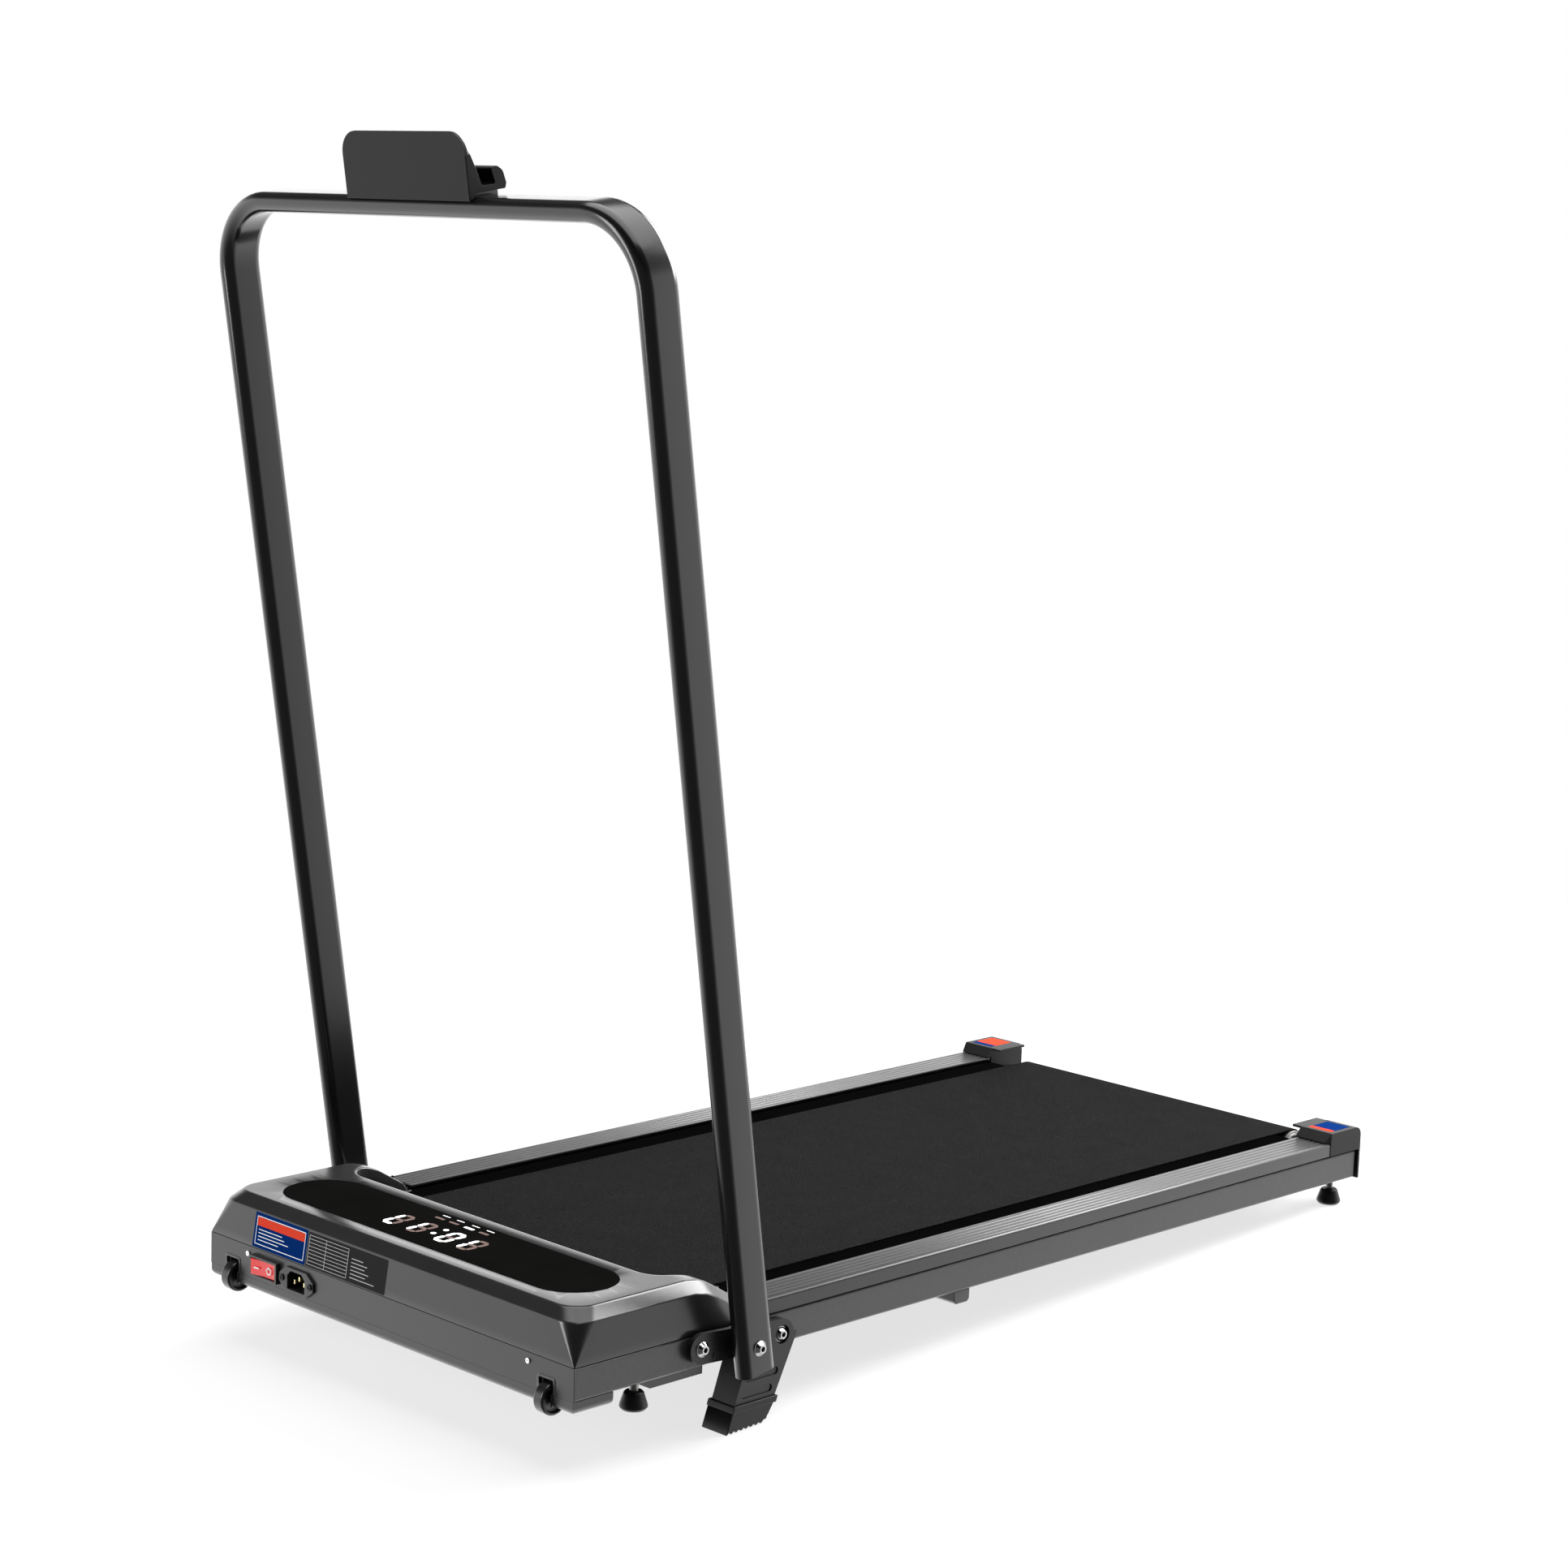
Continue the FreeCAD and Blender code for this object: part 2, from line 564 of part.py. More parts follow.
def roller(name, middle_y, with_pulley):
    """A steel tube on two ball bearings over a fixed axle, held in blocks on the rails."""
    spot = Vector(0, size(middle_y), size("roller_z"))
    half, bore = "roller_half", "roller_r - roller_wall"
    tube = turned(name + "_tube", [("-" + half, bore), (half, bore), (half, "roller_r"),
                                   ("-" + half, "roller_r")])
    keep(tube, name + "_roller_tube", spot)
    seat = "axle_r + shaft_gap"
    rings = []
    for side, sign in (("left", "-"), ("right", "")):
        rings.append(turned(name + "_hub_" + side,
                            [(sign + "(roller_half - hub_deep)", "bearing_r"),
                             (sign + "roller_half", "bearing_r"),
                             (sign + "roller_half", bore),
                             (sign + "(roller_half - hub_deep)", bore)]))
        far = sign + "(roller_half - bearing_inset)"
        near = sign + "(roller_half - bearing_inset - bearing_wide)"
        rings.append(turned(name + "_bearing_" + side,
                            [(near, seat), (far, seat), (far, "bearing_r"),
                             (near, "bearing_r")]))
    keep(grouped(name + "_bearings", rings), name + "_roller_bearings", spot)
    axle = turned(name + "_axle", [("-(rail_in - axle_gap)", "0"), ("rail_in - axle_gap", "0"),
                                   ("rail_in - axle_gap", "axle_r"),
                                   ("-(rail_in - axle_gap)", "axle_r")])
    keep(axle, name + "_roller_axle", spot)
    for side, sign in (("left", "-"), ("right", "")):
        low, high = ("block_in", "rail_in") if not sign else ("-rail_in", "-block_in")
        lump = block("%s_lump_%s" % (name, side), (low, high),
                     (middle_y + " - block_long / 2", middle_y + " + block_long / 2"),
                     ("roller_z - block_tall / 2", "roller_z + block_tall / 2"))
        bore_rod = rod("%s_lump_bore_%s" % (name, side), "x",
                       (low + " - 1", middle_y, "roller_z"), "axle_r", "block_wide + 2")
        axle_blocks.append(carved("%s_block_%s" % (name, side), lump, [bore_rod]))
    if with_pulley:
        rim, lip = "pulley_r + flange_tall", "flange_thick"
        wheel = turned("roller_pulley_disc",
                       [("roller_half", "axle_r + 1"), ("pulley_out", "axle_r + 1"),
                        ("pulley_out", rim), ("pulley_out - " + lip, rim),
                        ("pulley_out - " + lip, "pulley_r"),
                        ("pulley_in + " + lip, "pulley_r"), ("pulley_in + " + lip, rim),
                        ("pulley_in", rim), ("pulley_in", "roller_r - 3"),
                        ("roller_half", "roller_r - 3")])
        keep(wheel, "roller_pulley", spot)


def tension_bolts():
    """Two long screws from the rear that pull the rear axle back and square the belt."""
    near_y = "(rear_roller_y + block_long / 2)"
    bolts = []
    for side, sign in (("left", "-"), ("right", "")):
        where = sign + "tension_x"
        shank = rod("tension_shank_" + side, "y", (where, near_y, "roller_z"), "tension_r",
                    "cap_rear - " + near_y)
        head = rod("tension_head_" + side, "y", (where, "cap_rear - 5", "roller_z"),
                   "tension_head_r", "5 + cap_back")
        socket = rod("tension_socket_" + side, "y",
                     (where, "cap_rear + cap_back - 3", "roller_z"), "tension_r - 0.5", "4")
        whole = joined("tension_whole_" + side, [shank, head])
        bolts.append(carved("tension_bolt_" + side, whole, [socket]))
    keep(grouped("tension_pair", bolts), "tension_bolts")


def drive():
    """Motor, its shaft with flywheel and pulley, and the ribbed belt to the roller."""
    spot = Vector(0, size("motor_y"), size("motor_z"))
    seat, bevel = "motor_shaft_r + shaft_gap", "motor_bevel"
    can = turned("motor_can_body",
                 [("motor_in", seat), ("motor_out", seat), ("motor_out", "motor_r - " + bevel),
                  ("motor_out - " + bevel, "motor_r"), ("motor_in + " + bevel, "motor_r"),
                  ("motor_in", "motor_r - " + bevel)])
    keep(can, "motor_can", spot)
    near, far = "motor_in - pulley_seat", "pulley_out - flange_thick"
    shaft = turned("motor_shaft_body", [(near, "0"), (far, "0"), (far, "motor_shaft_r"),
                                        (near, "motor_shaft_r")])
    keep(shaft, "motor_shaft", spot)
    disc_near = "motor_out + flywheel_gap"
    disc_far = disc_near + " + flywheel_wide"
    rim, lip, hub = "motor_pulley_r + flange_tall", "flange_thick", "motor_shaft_r + 7"
    flywheel = turned("flywheel_body",
                      [(disc_near, "motor_shaft_r"), ("pulley_out", "motor_shaft_r"),
                       ("pulley_out", rim), ("pulley_out - " + lip, rim),
                       ("pulley_out - " + lip, "motor_pulley_r"),
                       ("pulley_in + " + lip, "motor_pulley_r"), ("pulley_in + " + lip, hub),
                       (disc_far, hub), (disc_far, "flywheel_r"), (disc_near, "flywheel_r")])
    keep(flywheel, "flywheel_pulley", spot)
    band = open_belt(spot, size("motor_pulley_r") + size("belt_gap"),
                     Vector(0, size("front_roller_y"), size("roller_z")),
                     size("pulley_r") + size("belt_gap"), size("drive_thick"),
                     size("pulley_in") + size("drive_margin"),
                     size("pulley_wide") - 2 * size("drive_margin"))
    keep(shaped("drive_belt_shape", band), "drive_belt")
    cradle = block("cradle_block", ("motor_in + cradle_inset", "motor_out - cradle_inset"),
                   ("motor_y - cradle_half", "motor_y + cradle_half"),
                   ("pan_floor", "motor_z - motor_r + cradle_grip"))
    hollow = rod("cradle_hollow", "x", ("motor_in", "motor_y", "motor_z"), "motor_r",
                 "motor_long")
    keep(carved("cradle", cradle, [hollow]), "motor_cradle")


def controller():
    """The speed controller's board with its parts, and the finned heat sink on it."""
    level = "pan_floor + pcb_post"
    deck_level = level + " + pcb_thick"
    front, rear = "pcb_front", "pcb_front + pcb_deep"
    parts = [block("pcb_plate", ("pcb_left", "pcb_right"), (front, rear), (level, deck_level))]
    for name, left in (("left", "pcb_left + 2"), ("right", "pcb_right - 2 - pcb_post")):
        parts.append(block("pcb_post_" + name, (left, left + " + pcb_post"),
                           (front + " + 4", front + " + 4 + pcb_post"), ("pan_floor", level)))
    # choke, capacitor and relay: place from the board's left end, width and height
    for name, off, wide, tall in (("choke", 8, 16, 14), ("capacitor", 30, 12, 6),
                                  ("relay", 52, 20, 4)):
        left = "pcb_left + %d" % off
        parts.append(block("pcb_" + name, (left, left + " + %d" % wide),
                           (front + " + 3", rear + " - 4"),
                           (deck_level, deck_level + " + 8 + %d" % tall)))
    keep(joined("pcb", parts), "controller_board")
    near = "pcb_right - 2 - sink_long"
    depth = (front + " + 3", rear + " - 3")
    fins = [block("sink_base", (near, "pcb_right - 2"), depth,
                  (deck_level, deck_level + " + 3"))]
    for fin in range(5):
        left = near + " + %d * sink_pitch" % fin
        fins.append(block("sink_fin_%d" % fin, (left, left + " + sink_fin"), depth,
                          (deck_level + " + 2", deck_level + " + 3 + sink_tall")))
    keep(joined("sink", fins), "heat_sink")


# ---------------------------------------------------------------- hood, window and pan

def tail_profile(inset):
    """Points of the hood's side view, from the front foot over the top to the tail's end."""
    low, top = size("hood_low"), size("hood_top") - inset
    slope = math.radians(size("tail_slope"))
    bend_r = size("tail_bend_r") - inset
    bend = size("tail_bend")
    points = [(inset, low - (1 if inset else 0)),
              (size("hood_slant") + inset, size("hood_shoulder") - inset * 0.4),
              (size("hood_front") + inset * 0.4, top), (bend, top)]
    for step in range(1, 7):
        turn = slope * step / 6
        points.append((bend + bend_r * math.sin(turn), top - bend_r * (1 - math.cos(turn))))
    last_y, last_z = points[-1]
    end = size("tail_end") - inset
    fall = (end - last_y) * math.tan(slope)
    points.append((end, max(last_z - fall, low + 2)))
    points.append((end, low - (1 if inset else 0)))
    return points


def hood_solid(inset):
    """The hood's outside, or its inside when inset by the wall."""
    half, low = size("rail_out"), size("hood_low") - (1 if inset else 0)
    profile = tail_profile(inset)
    side = prism([(-half, y, z) for y, z in profile], Vector(2 * half, 0, 0))
    shoulder = size("hood_shoulder_half") - inset
    top_half = size("hood_top_half") - inset * 0.4
    reach = size("tail_end") + 1
    front = prism([(-half + inset, 0, low), (-shoulder, 0, size("hood_shoulder") - inset * 0.4),
                   (-top_half, 0, size("hood_top") - inset),
                   (top_half, 0, size("hood_top") - inset),
                   (shoulder, 0, size("hood_shoulder") - inset * 0.4),
                   (half - inset, 0, low)], Vector(0, reach, 0))
    body = side.common(front)
    inner = size("skirt_in") + 0.2 + inset
    rear = size("hood_rear") - inset
    bay = Part.makeBox(2 * inner, reach, 200, Vector(-inner, rear, 0))
    return body.cut(bay)


def stadium(half, radius, middle_y, low, tall):
    """An upright stadium-shaped slab lying across the deck."""
    straight = half - radius
    slab = Part.makeBox(2 * straight, 2 * radius, tall, Vector(-straight, middle_y - radius, low))
    for end in (-straight, straight):
        slab = slab.fuse(Part.makeCylinder(radius, tall, Vector(end, middle_y, low)))
    return slab.removeSplitter()


def hood():
    """The moulded hood: a shell with two tails that run back over the rails."""
    shell = hood_solid(0).cut(hood_solid(size("hood_wall")))
    start, deep = size("hood_rear") - 4 * size("skirt_step"), size("belt_top")
    inner, clear = size("board_edge"), size("window_gap")
    over_board = Part.makeBox(2 * inner, size("tail_end"), deep,
                              Vector(-inner, start, size("board_top") + clear - deep))
    inner, clear = size("skirt_in"), size("belt_thick")
    over_belt = Part.makeBox(2 * inner, size("tail_end"), deep,
                             Vector(-inner, start, size("belt_top") + clear - deep))
    shell = shell.cut([over_board, over_belt])
    opening = stadium(size("window_half") + size("window_gap"),
                      size("window_r") + size("window_gap"), size("window_y"),
                      size("hood_top") - 10, 20)
    shell = shell.cut(opening)
    keep(shaped("hood_shape", shell.removeSplitter()), "motor_hood")


def window():
    """The smoked display window, held under the hood's top by a wider lip."""
    half, radius, middle = size("window_half"), size("window_r"), size("window_y")
    top = size("hood_top") + 0.1
    under = size("hood_top") - size("hood_wall")
    glass = stadium(half, radius, middle, top - size("window_thick"), size("window_thick"))
    wider = size("window_lip")
    lip = stadium(half + wider, radius + wider, middle, under - 1.6, 1.5)
    neck = stadium(half - 1, radius - 1, middle, under - 0.5, 1.0)
    keep(shaped("window_shape", glass.fuse([lip, neck]).removeSplitter()), "display_window")
    base = "display_top - digit_tall"
    plate = block("display_plate", ("-display_half", "display_half"),
                  ("window_y - display_deep / 2", "window_y + display_deep / 2"),
                  (base + " - pcb_thick", base))
    digits = [plate]
    # two digits each side of the colon
    for number, steps in enumerate((-2, -1, 0, 1)):
        shift = " + colon_gap / 2" if steps >= 0 else " - colon_gap / 2"
        left = "%d * digit_pitch + 3" % steps + shift
        digits.append(block("digit_%d" % number, (left, left + " + digit_wide"),
                            ("window_y - digit_deep / 2", "window_y + digit_deep / 2"),
                            (base, "display_top")))
    keep(joined("display_parts", digits), "display_board")


def pan():
    """The tray that closes the motor bay from below, stepped in round the front feet."""
    low, high, wall = size("pan_low"), size("rail_low"), size("pan_wall")
    front, waist, rear = size("pan_half"), size("pan_waist_half"), size("pan_rear_half")
    step, start, long = size("pan_front_long"), size("pan_rear_start"), size("pan_long")

    def eased(body, floor, radius):
        """The tray's bottom edges rounded, at its front and its front sides."""
        near = [edge for edge in body.Edges if edge.BoundBox.ZMax - floor < 0.01
                and edge.BoundBox.YMax < step + 0.01
                and (edge.BoundBox.YMax < wall + 0.01
                     or edge.BoundBox.XMin > waist + 0.01 or edge.BoundBox.XMax < -waist - 0.01)
                and edge.BoundBox.YMax - edge.BoundBox.YMin + edge.BoundBox.XMax
                - edge.BoundBox.XMin > 2 * radius]
        return body.makeFillet(radius, near)

    def outline(inset, floor, tall):
        points = [(front, 0), (front, step), (waist, step), (waist, start), (rear, start),
                  (rear, long)]
        signs = [(-1, 1), (-1, -1), (-1, -1), (-1, 1), (-1, 1), (-1, -1)]
        right = [(x + sx * inset, y + sy * inset, floor)
                 for (x, y), (sx, sy) in zip(points, signs)]
        left = [(-x, y, z) for x, y, z in reversed(right)]
        return prism(right + left, Vector(0, 0, tall))
    bend = size("pan_bend")
    tray = eased(outline(0, low, high - low), low, bend)
    tray = tray.cut(eased(outline(wall, low + wall, high), low + wall, bend - wall))
    for side in (-1, 1):
        middle = side * size("wheel_x")
        half = size("wheel_wide") / 2 + size("wheel_side")
        notch = Part.makeBox(2 * half, size("wheel_y") + size("wheel_r") + size("wheel_side"),
                             high - low + 2,
                             Vector(middle - half, -1, low - 1))
        tray = tray.cut(notch)
    keep(shaped("pan_shape", tray), "bottom_pan")


# ---------------------------------------------------------------- front face controls

def rocker():
    """The mains switch: a bezel set in the plate and the button that rocks on a pin in it."""
    half_wide, half_tall = "bezel_wide / 2", "bezel_tall / 2"
    bezel = block("bezel_block", ("rocker_x - " + half_wide, "rocker_x + " + half_wide),
                  ("-bezel_proud", "0"), ("rocker_z - " + half_tall, "rocker_z + " + half_tall))
    body = block("switch_body", ("rocker_x - switch_half", "rocker_x + switch_half"),
                 ("-1", "switch_deep"),
                 ("rocker_z - switch_half_tall", "rocker_z + switch_half_tall"))
    whole = joined("switch_whole", [bezel, body])
    room_wide, room_tall = "(button_wide / 2 + button_gap)", "(button_tall / 2 + hole_gap)"
    well = block("switch_well", ("rocker_x - " + room_wide, "rocker_x + " + room_wide),
                 ("-bezel_proud - 1", "switch_deep / 2"),
                 ("rocker_z - " + room_tall, "rocker_z + " + room_tall))
    pin = rod("switch_pin", "z", ("rocker_x", "rocker_pin_y", "rocker_z - " + room_tall),
              "rocker_pin_r", "2 * " + room_tall)
    keep(joined("switch", [carved("switch_shell", whole, [well]), pin]), "rocker_housing")
    half = size("button_wide") / 2
    face = -size("bezel_proud") - 1.2
    pivot = Vector(0, size("rocker_pin_y"), 0)
    tall = size("button_tall")
    outline = [(-half, face + 1.4), (0, face + 2.6), (half, face + 1.4), (half - 2.5, 7.5),
               (2.5, 10.0), (-2.5, 10.0), (-half + 2.5, 7.5)]
    tilt = Rotation(Vector(0, 0, 1), size("button_tilt"))
    tipped = [pivot + tilt.multVec(Vector(x, y, 0) - pivot) for x, y in outline]
    button = prism([(corner.x, corner.y, -tall / 2) for corner in tipped], Vector(0, 0, tall))
    bore = Part.makeCylinder(size("rocker_pin_r") + size("shaft_gap"), tall,
                             pivot - Vector(0, 0, tall / 2), Vector(0, 0, 1))
    button = button.cut(bore)
    keep(shaped("button_shape", button), "rocker_button",
         Vector(size("rocker_x"), 0, size("rocker_z")))


def inlet():
    """The mains inlet: an eared flange, a keyed socket with three blades, and two screws."""
    x, z = size("inlet_x"), size("inlet_z")
    half_wide, half_tall = size("inlet_hollow_wide") / 2, size("inlet_hollow_tall") / 2
    proud, deep = size("inlet_proud"), size("inlet_deep")
    ear = size("inlet_pitch") / 2 + 4.6
    ear_tall, shell_tall = 4.0, half_tall + 3.0
    wide = size("inlet_half")
    flange = prism([(x - ear, -proud, z - ear_tall), (x - wide, -proud, z - shell_tall),
                    (x + wide, -proud, z - shell_tall), (x + ear, -proud, z - ear_tall),
                    (x + ear, -proud, z + ear_tall), (x + wide, -proud, z + shell_tall),
                    (x - wide, -proud, z + shell_tall), (x - ear, -proud, z + ear_tall)],
                   Vector(0, proud, 0))
    tall = size("inlet_half_tall")
    shell = Part.makeBox(2 * wide, deep + 3, 2 * tall, Vector(x - wide, 0, z - tall))
    cut = size("inlet_key")
    hollow = prism([(x - half_wide, -proud, z - half_tall), (x + half_wide, -proud, z - half_tall),
                    (x + half_wide, -proud, z + half_tall - cut),
                    (x + half_wide - cut, -proud, z + half_tall),
                    (x - half_wide + cut, -proud, z + half_tall),
                    (x - half_wide, -proud, z + half_tall - cut)], Vector(0, deep, 0))
    body = flange.fuse(shell).cut(hollow)
    screws = []
    for side in (-1, 1):
        spot = Vector(x + side * size("inlet_pitch") / 2, -proud - 1.2, z)
        thread = size("face_screw_r")
        body = body.cut(Part.makeCylinder(thread, proud + 2, spot, Vector(0, 1, 0)))
        screw = Part.makeCylinder(3.0, 1.2, spot, Vector(0, 1, 0))
        screw = screw.fuse(Part.makeCylinder(thread - size("shaft_gap"), proud + 4, spot,
                                             Vector(0, 1, 0)))
        slot = Part.makeBox(4, 0.6, 0.8, spot + Vector(-2, 0, -0.4))
        other = Part.makeBox(0.8, 0.6, 4, spot + Vector(-0.4, 0, -2))
        screws.append(screw.cut(slot).cut(other))
    keep(shaped("inlet_shape", body.removeSplitter()), "power_inlet")
    face_screws.extend(screws)
    blades = []
    for dx, dz in ((-7, -2), (7, -2), (0, 2)):
        blades.append(Part.makeBox(2, deep - 5, 4, Vector(x + dx - 1, 4 - proud, z + dz - 2)))
    keep(shaped("inlet_blades", Part.makeCompound(blades)), "inlet_blades")


def front_screws():
    """The two small screws that hold the hood's front edge to the plate."""
    for side in (-1, 1):
        spot = Vector(side * size("front_screw_x"), -1.2, size("front_screw_z"))
        head = Part.makeCylinder(2.4, 1.2, spot, Vector(0, 1, 0))
        slot = Part.makeBox(3.2, 0.5, 0.7, spot + Vector(-1.6, 0, -0.35))
        face_screws.append(head.cut(slot))
    keep(shaped("face_screw_shapes", Part.makeCompound(face_screws)), "face_screws")


# ---------------------------------------------------------------- wheels and feet

def wheels():
    """Two transport wheels at the front corners, each on its own axle and fork."""
    spot = Vector(size("wheel_x"), size("wheel_y"), size("wheel_z"))
    half, bore = "wheel_wide / 2", "wheel_axle_r + shaft_gap"
    disc = turned("wheel_disc",
                  [("-" + half, bore), (half, bore), (half, "wheel_r - 4"),
                   (half + " - 1", "wheel_r - 1.5"), (half + " - 2.5", "wheel_r"),
                   ("-%s + 2.5" % half, "wheel_r"), ("-%s + 1" % half, "wheel_r - 1.5"),
                   ("-" + half, "wheel_r - 4")])
    pair(disc, "transport_wheel", spot)
    axle = turned("wheel_pin", [("-%s - 1.5" % half, "0"), (half + " + 1.5", "0"),
                                (half + " + 1.5", "wheel_axle_r"),
                                ("-%s - 1.5" % half, "wheel_axle_r")])
    axle.Placement = Placement(spot, Rotation())
    keep(twins("wheel_axle_pair", axle), "wheel_axles")
    cheeks = []
    for name, sign in (("in", "-1"), ("out", "1")):
        middle = "wheel_x + %s * (wheel_wide / 2 + wheel_side / 2)" % sign
        across = (middle + " - fork_thick / 2", middle + " + fork_thick / 2")
        tall = block("cheek_tall_" + name, across, ("front_thick + 0.2", "wheel_y + wheel_r"),
                     ("wheel_z - 5.5", "wheel_z + wheel_r + 2 * wheel_side"))
        lug = block("cheek_lug_" + name, across, ("wheel_y - 5.5", "wheel_y + 5.5"),
                    ("wheel_z - 5.5", "wheel_z + 5.5"))
        plate = joined("cheek_" + name, [tall, lug])
        pin = rod("cheek_bore_" + name, "x", (middle + " - 3", "wheel_y", "wheel_z"),
                  "wheel_axle_r", "6")
        cheeks.append(carved("cheek_cut_" + name, plate, [pin]))
    keep(twins("fork_pair", grouped("fork", cheeks)), "wheel_forks")


def foot(place, y_alias):
    """A levelling foot: a flared rubber pad moulded on a threaded stud."""
    spot = Vector(size("foot_x"), size(y_alias), size("foot_low"))
    pad = turned("pad_" + place,
                 [("stud_r", "0.8"), ("stud_r", "0"), ("foot_r - foot_heel", "0"), ("foot_r", "2.5"),
                  ("foot_r - 0.4", "5"), ("foot_r - 3.6", "foot_tall - 1.5"),
                  ("foot_r - 5", "foot_tall"), ("stud_r", "foot_tall")], upright=True)
    pair(pad, "foot_pad_" + place, spot)
    stud = turned("stud_" + place,
                  [("0", "0.8"), ("stud_r", "0.8"), ("stud_r", "rail_low - foot_low + stud_up"),
                   ("0", "rail_low - foot_low + stud_up")], upright=True)
    pair(stud, "foot_stud_" + place, spot)


# ---------------------------------------------------------------- hinge, leg and boot

def capsule(near, far, radius, low_x, thick):
    """A flat plate with round ends about two points of the side view."""
    slab = prism([(low_x,) + p for p in capsule_sides(near, far, radius)],
                 Vector(thick, 0, 0))
    for y, z in (near, far):
        slab = slab.fuse(Part.makeCylinder(radius, thick, Vector(low_x, y, z),
                                           Vector(1, 0, 0)))
    return slab.removeSplitter()


def capsule_sides(near, far, radius):
    """The four corners of the straight part of a round-ended plate."""
    run = Vector(0, far[0] - near[0], far[1] - near[1])
    run.normalize()
    off = Vector(0, -run.z, run.y) * radius
    return [(near[0] - off.y, near[1] - off.z), (far[0] - off.y, far[1] - off.z),
            (far[0] + off.y, far[1] + off.z), (near[0] + off.y, near[1] + off.z)]


def hinge_points():
    """Front bolt, pivot and rear bolt in the side view."""
    return [(size(name + "_y"), size(name + "_z")) for name in ("bolt_front", "pivot",
                                                               "bolt_rear")]


def leg_outline(inset, low, high):
    """The leg's slanting side view between two heights, drawn in by inset."""
    span = size("leg_drop")
    top_front = size("pivot_y") + size("leg_head_front")
    top_rear = size("pivot_y") + size("leg_head_rear")
    low_front = size("pivot_y") + size("leg_foot_front")
    low_rear = size("pivot_y") + size("leg_foot_rear")

    def front(z):
        share = (size("rail_low") - z) / span
        return top_front + share * (low_front - top_front)

    def rear(z):
        share = (size("rail_low") - z) / span
        return top_rear + share * (low_rear - top_rear)
    return [(front(low) + inset, low), (rear(low) - inset, low), (rear(high) - inset, high),
            (front(high) + inset, high)]


def floor_slope():
    """Rise of the floor under the deck, which stands on the rear feet and the boots."""
    toe = size("pivot_y") + size("leg_foot_front") - size("boot_wall")
    heel = size("foot_rear_y") + size("foot_r") - size("foot_heel")
    return (size("foot_low") - size("boot_low")) / (heel - toe)


def hinge_and_leg():
    """The round-ended hinge plate, the boxed sheet leg and its rubber boot, on both sides."""
    first, pivot, last = hinge_points()
    near, thick = size("plate_in"), size("plate_thick")
    plate = capsule(first, last, size("plate_r"), near, thick)
    rivet = Part.makeCylinder(size("rivet_r"), thick + 0.8,
                              Vector(near, pivot[0] + size("rivet_off"),
                                     pivot[1] + size("rivet_up")), Vector(1, 0, 0))
    plate = plate.fuse(rivet)
    for y, z in (first, pivot, last):
        plate = plate.cut(Part.makeCylinder(size("bolt_r"), thick + 2, Vector(near - 1, y, z),
                                            Vector(1, 0, 0)))
    pair(shaped("hinge_plate_shape", plate.removeSplitter()), "hinge_plate")

    web_in, outer = size("leg_web"), size("leg_out")
    sheet_thick, fit = size("leg_thick"), size("shaft_gap")
    low = size("boot_low") + size("boot_wall") + size("sole_thick") + fit
    under = size("rail_low") - size("weld_gap")
    box = prism([(size("leg_in"), y, z) for y, z in leg_outline(0, low, under)],
                Vector(outer - size("leg_in"), 0, 0))
    hollow = prism([(size("leg_in") + sheet_thick, y, z)
                    for y, z in leg_outline(sheet_thick, low + sheet_thick, under + 5)],
                   Vector(outer - size("leg_in") - 2 * sheet_thick, 0, 0))
    top = capsule(pivot, last, size("plate_r"), web_in, sheet_thick)
    web = prism([(web_in, y, z) for y, z in leg_outline(0, under - 6, last[1])],
                Vector(sheet_thick, 0, 0))
    leg = box.cut(hollow).fuse([web, top])
    leg = leg.cut(Part.makeCylinder(size("bolt_r") + size("leg_gap"), 40, Vector(web_in - 1, *pivot),
                                    Vector(1, 0, 0)))
    leg = leg.cut(Part.makeCylinder(size("head_r") + 1.6, 40, Vector(web_in - 1, *last),
                                    Vector(1, 0, 0)))
    for middle in (-2.0, 12.0):
        row = leg_outline(9, middle - 4, middle + 4)
        dent = capsule((row[0][0], middle), (row[1][0], middle), 3.6, outer - 1.2, 3)
        leg = leg.cut(dent)
    pair(shaped("leg_shape", leg.removeSplitter()), "stand_leg")

    wall, rim = size("boot_wall"), size("boot_high")
    floor = size("boot_low")
    front_low, rear_low, rear_high, front_high = leg_outline(-wall, floor, rim)
    heel_y, heel_z = rear_low[0], floor + (rear_low[0] - front_low[0]) * floor_slope()
    heel = [(heel_y - 7, heel_z - 7 * floor_slope()), (heel_y + 1.4, heel_z + 6)]
    boot = prism([(size("leg_in") - wall, y, z)
                  for y, z in [front_low] + heel + [rear_high, front_high]],
                 Vector(outer - size("leg_in") + 2 * wall, 0, 0))
    room = prism([(size("leg_in") - fit, y, z)
                  for y, z in leg_outline(-fit, floor + wall + size("sole_thick"), rim + 1)],
                 Vector(outer - size("leg_in") + 2 * fit, 0, 0))
    boot = boot.cut(room)
    start = leg_outline(0, floor, rim)[0][0]
    for tooth in range(5):
        along = start + 5 + 7 * tooth
        groove = Part.makeCylinder(1.0, 60, Vector(size("leg_in") - 10, along,
                                                   floor - 0.2 + (along - start) * floor_slope()),
                                   Vector(1, 0, 0))
        boot = boot.cut(groove)
    pair(shaped("boot_shape", boot), "leg_boot")


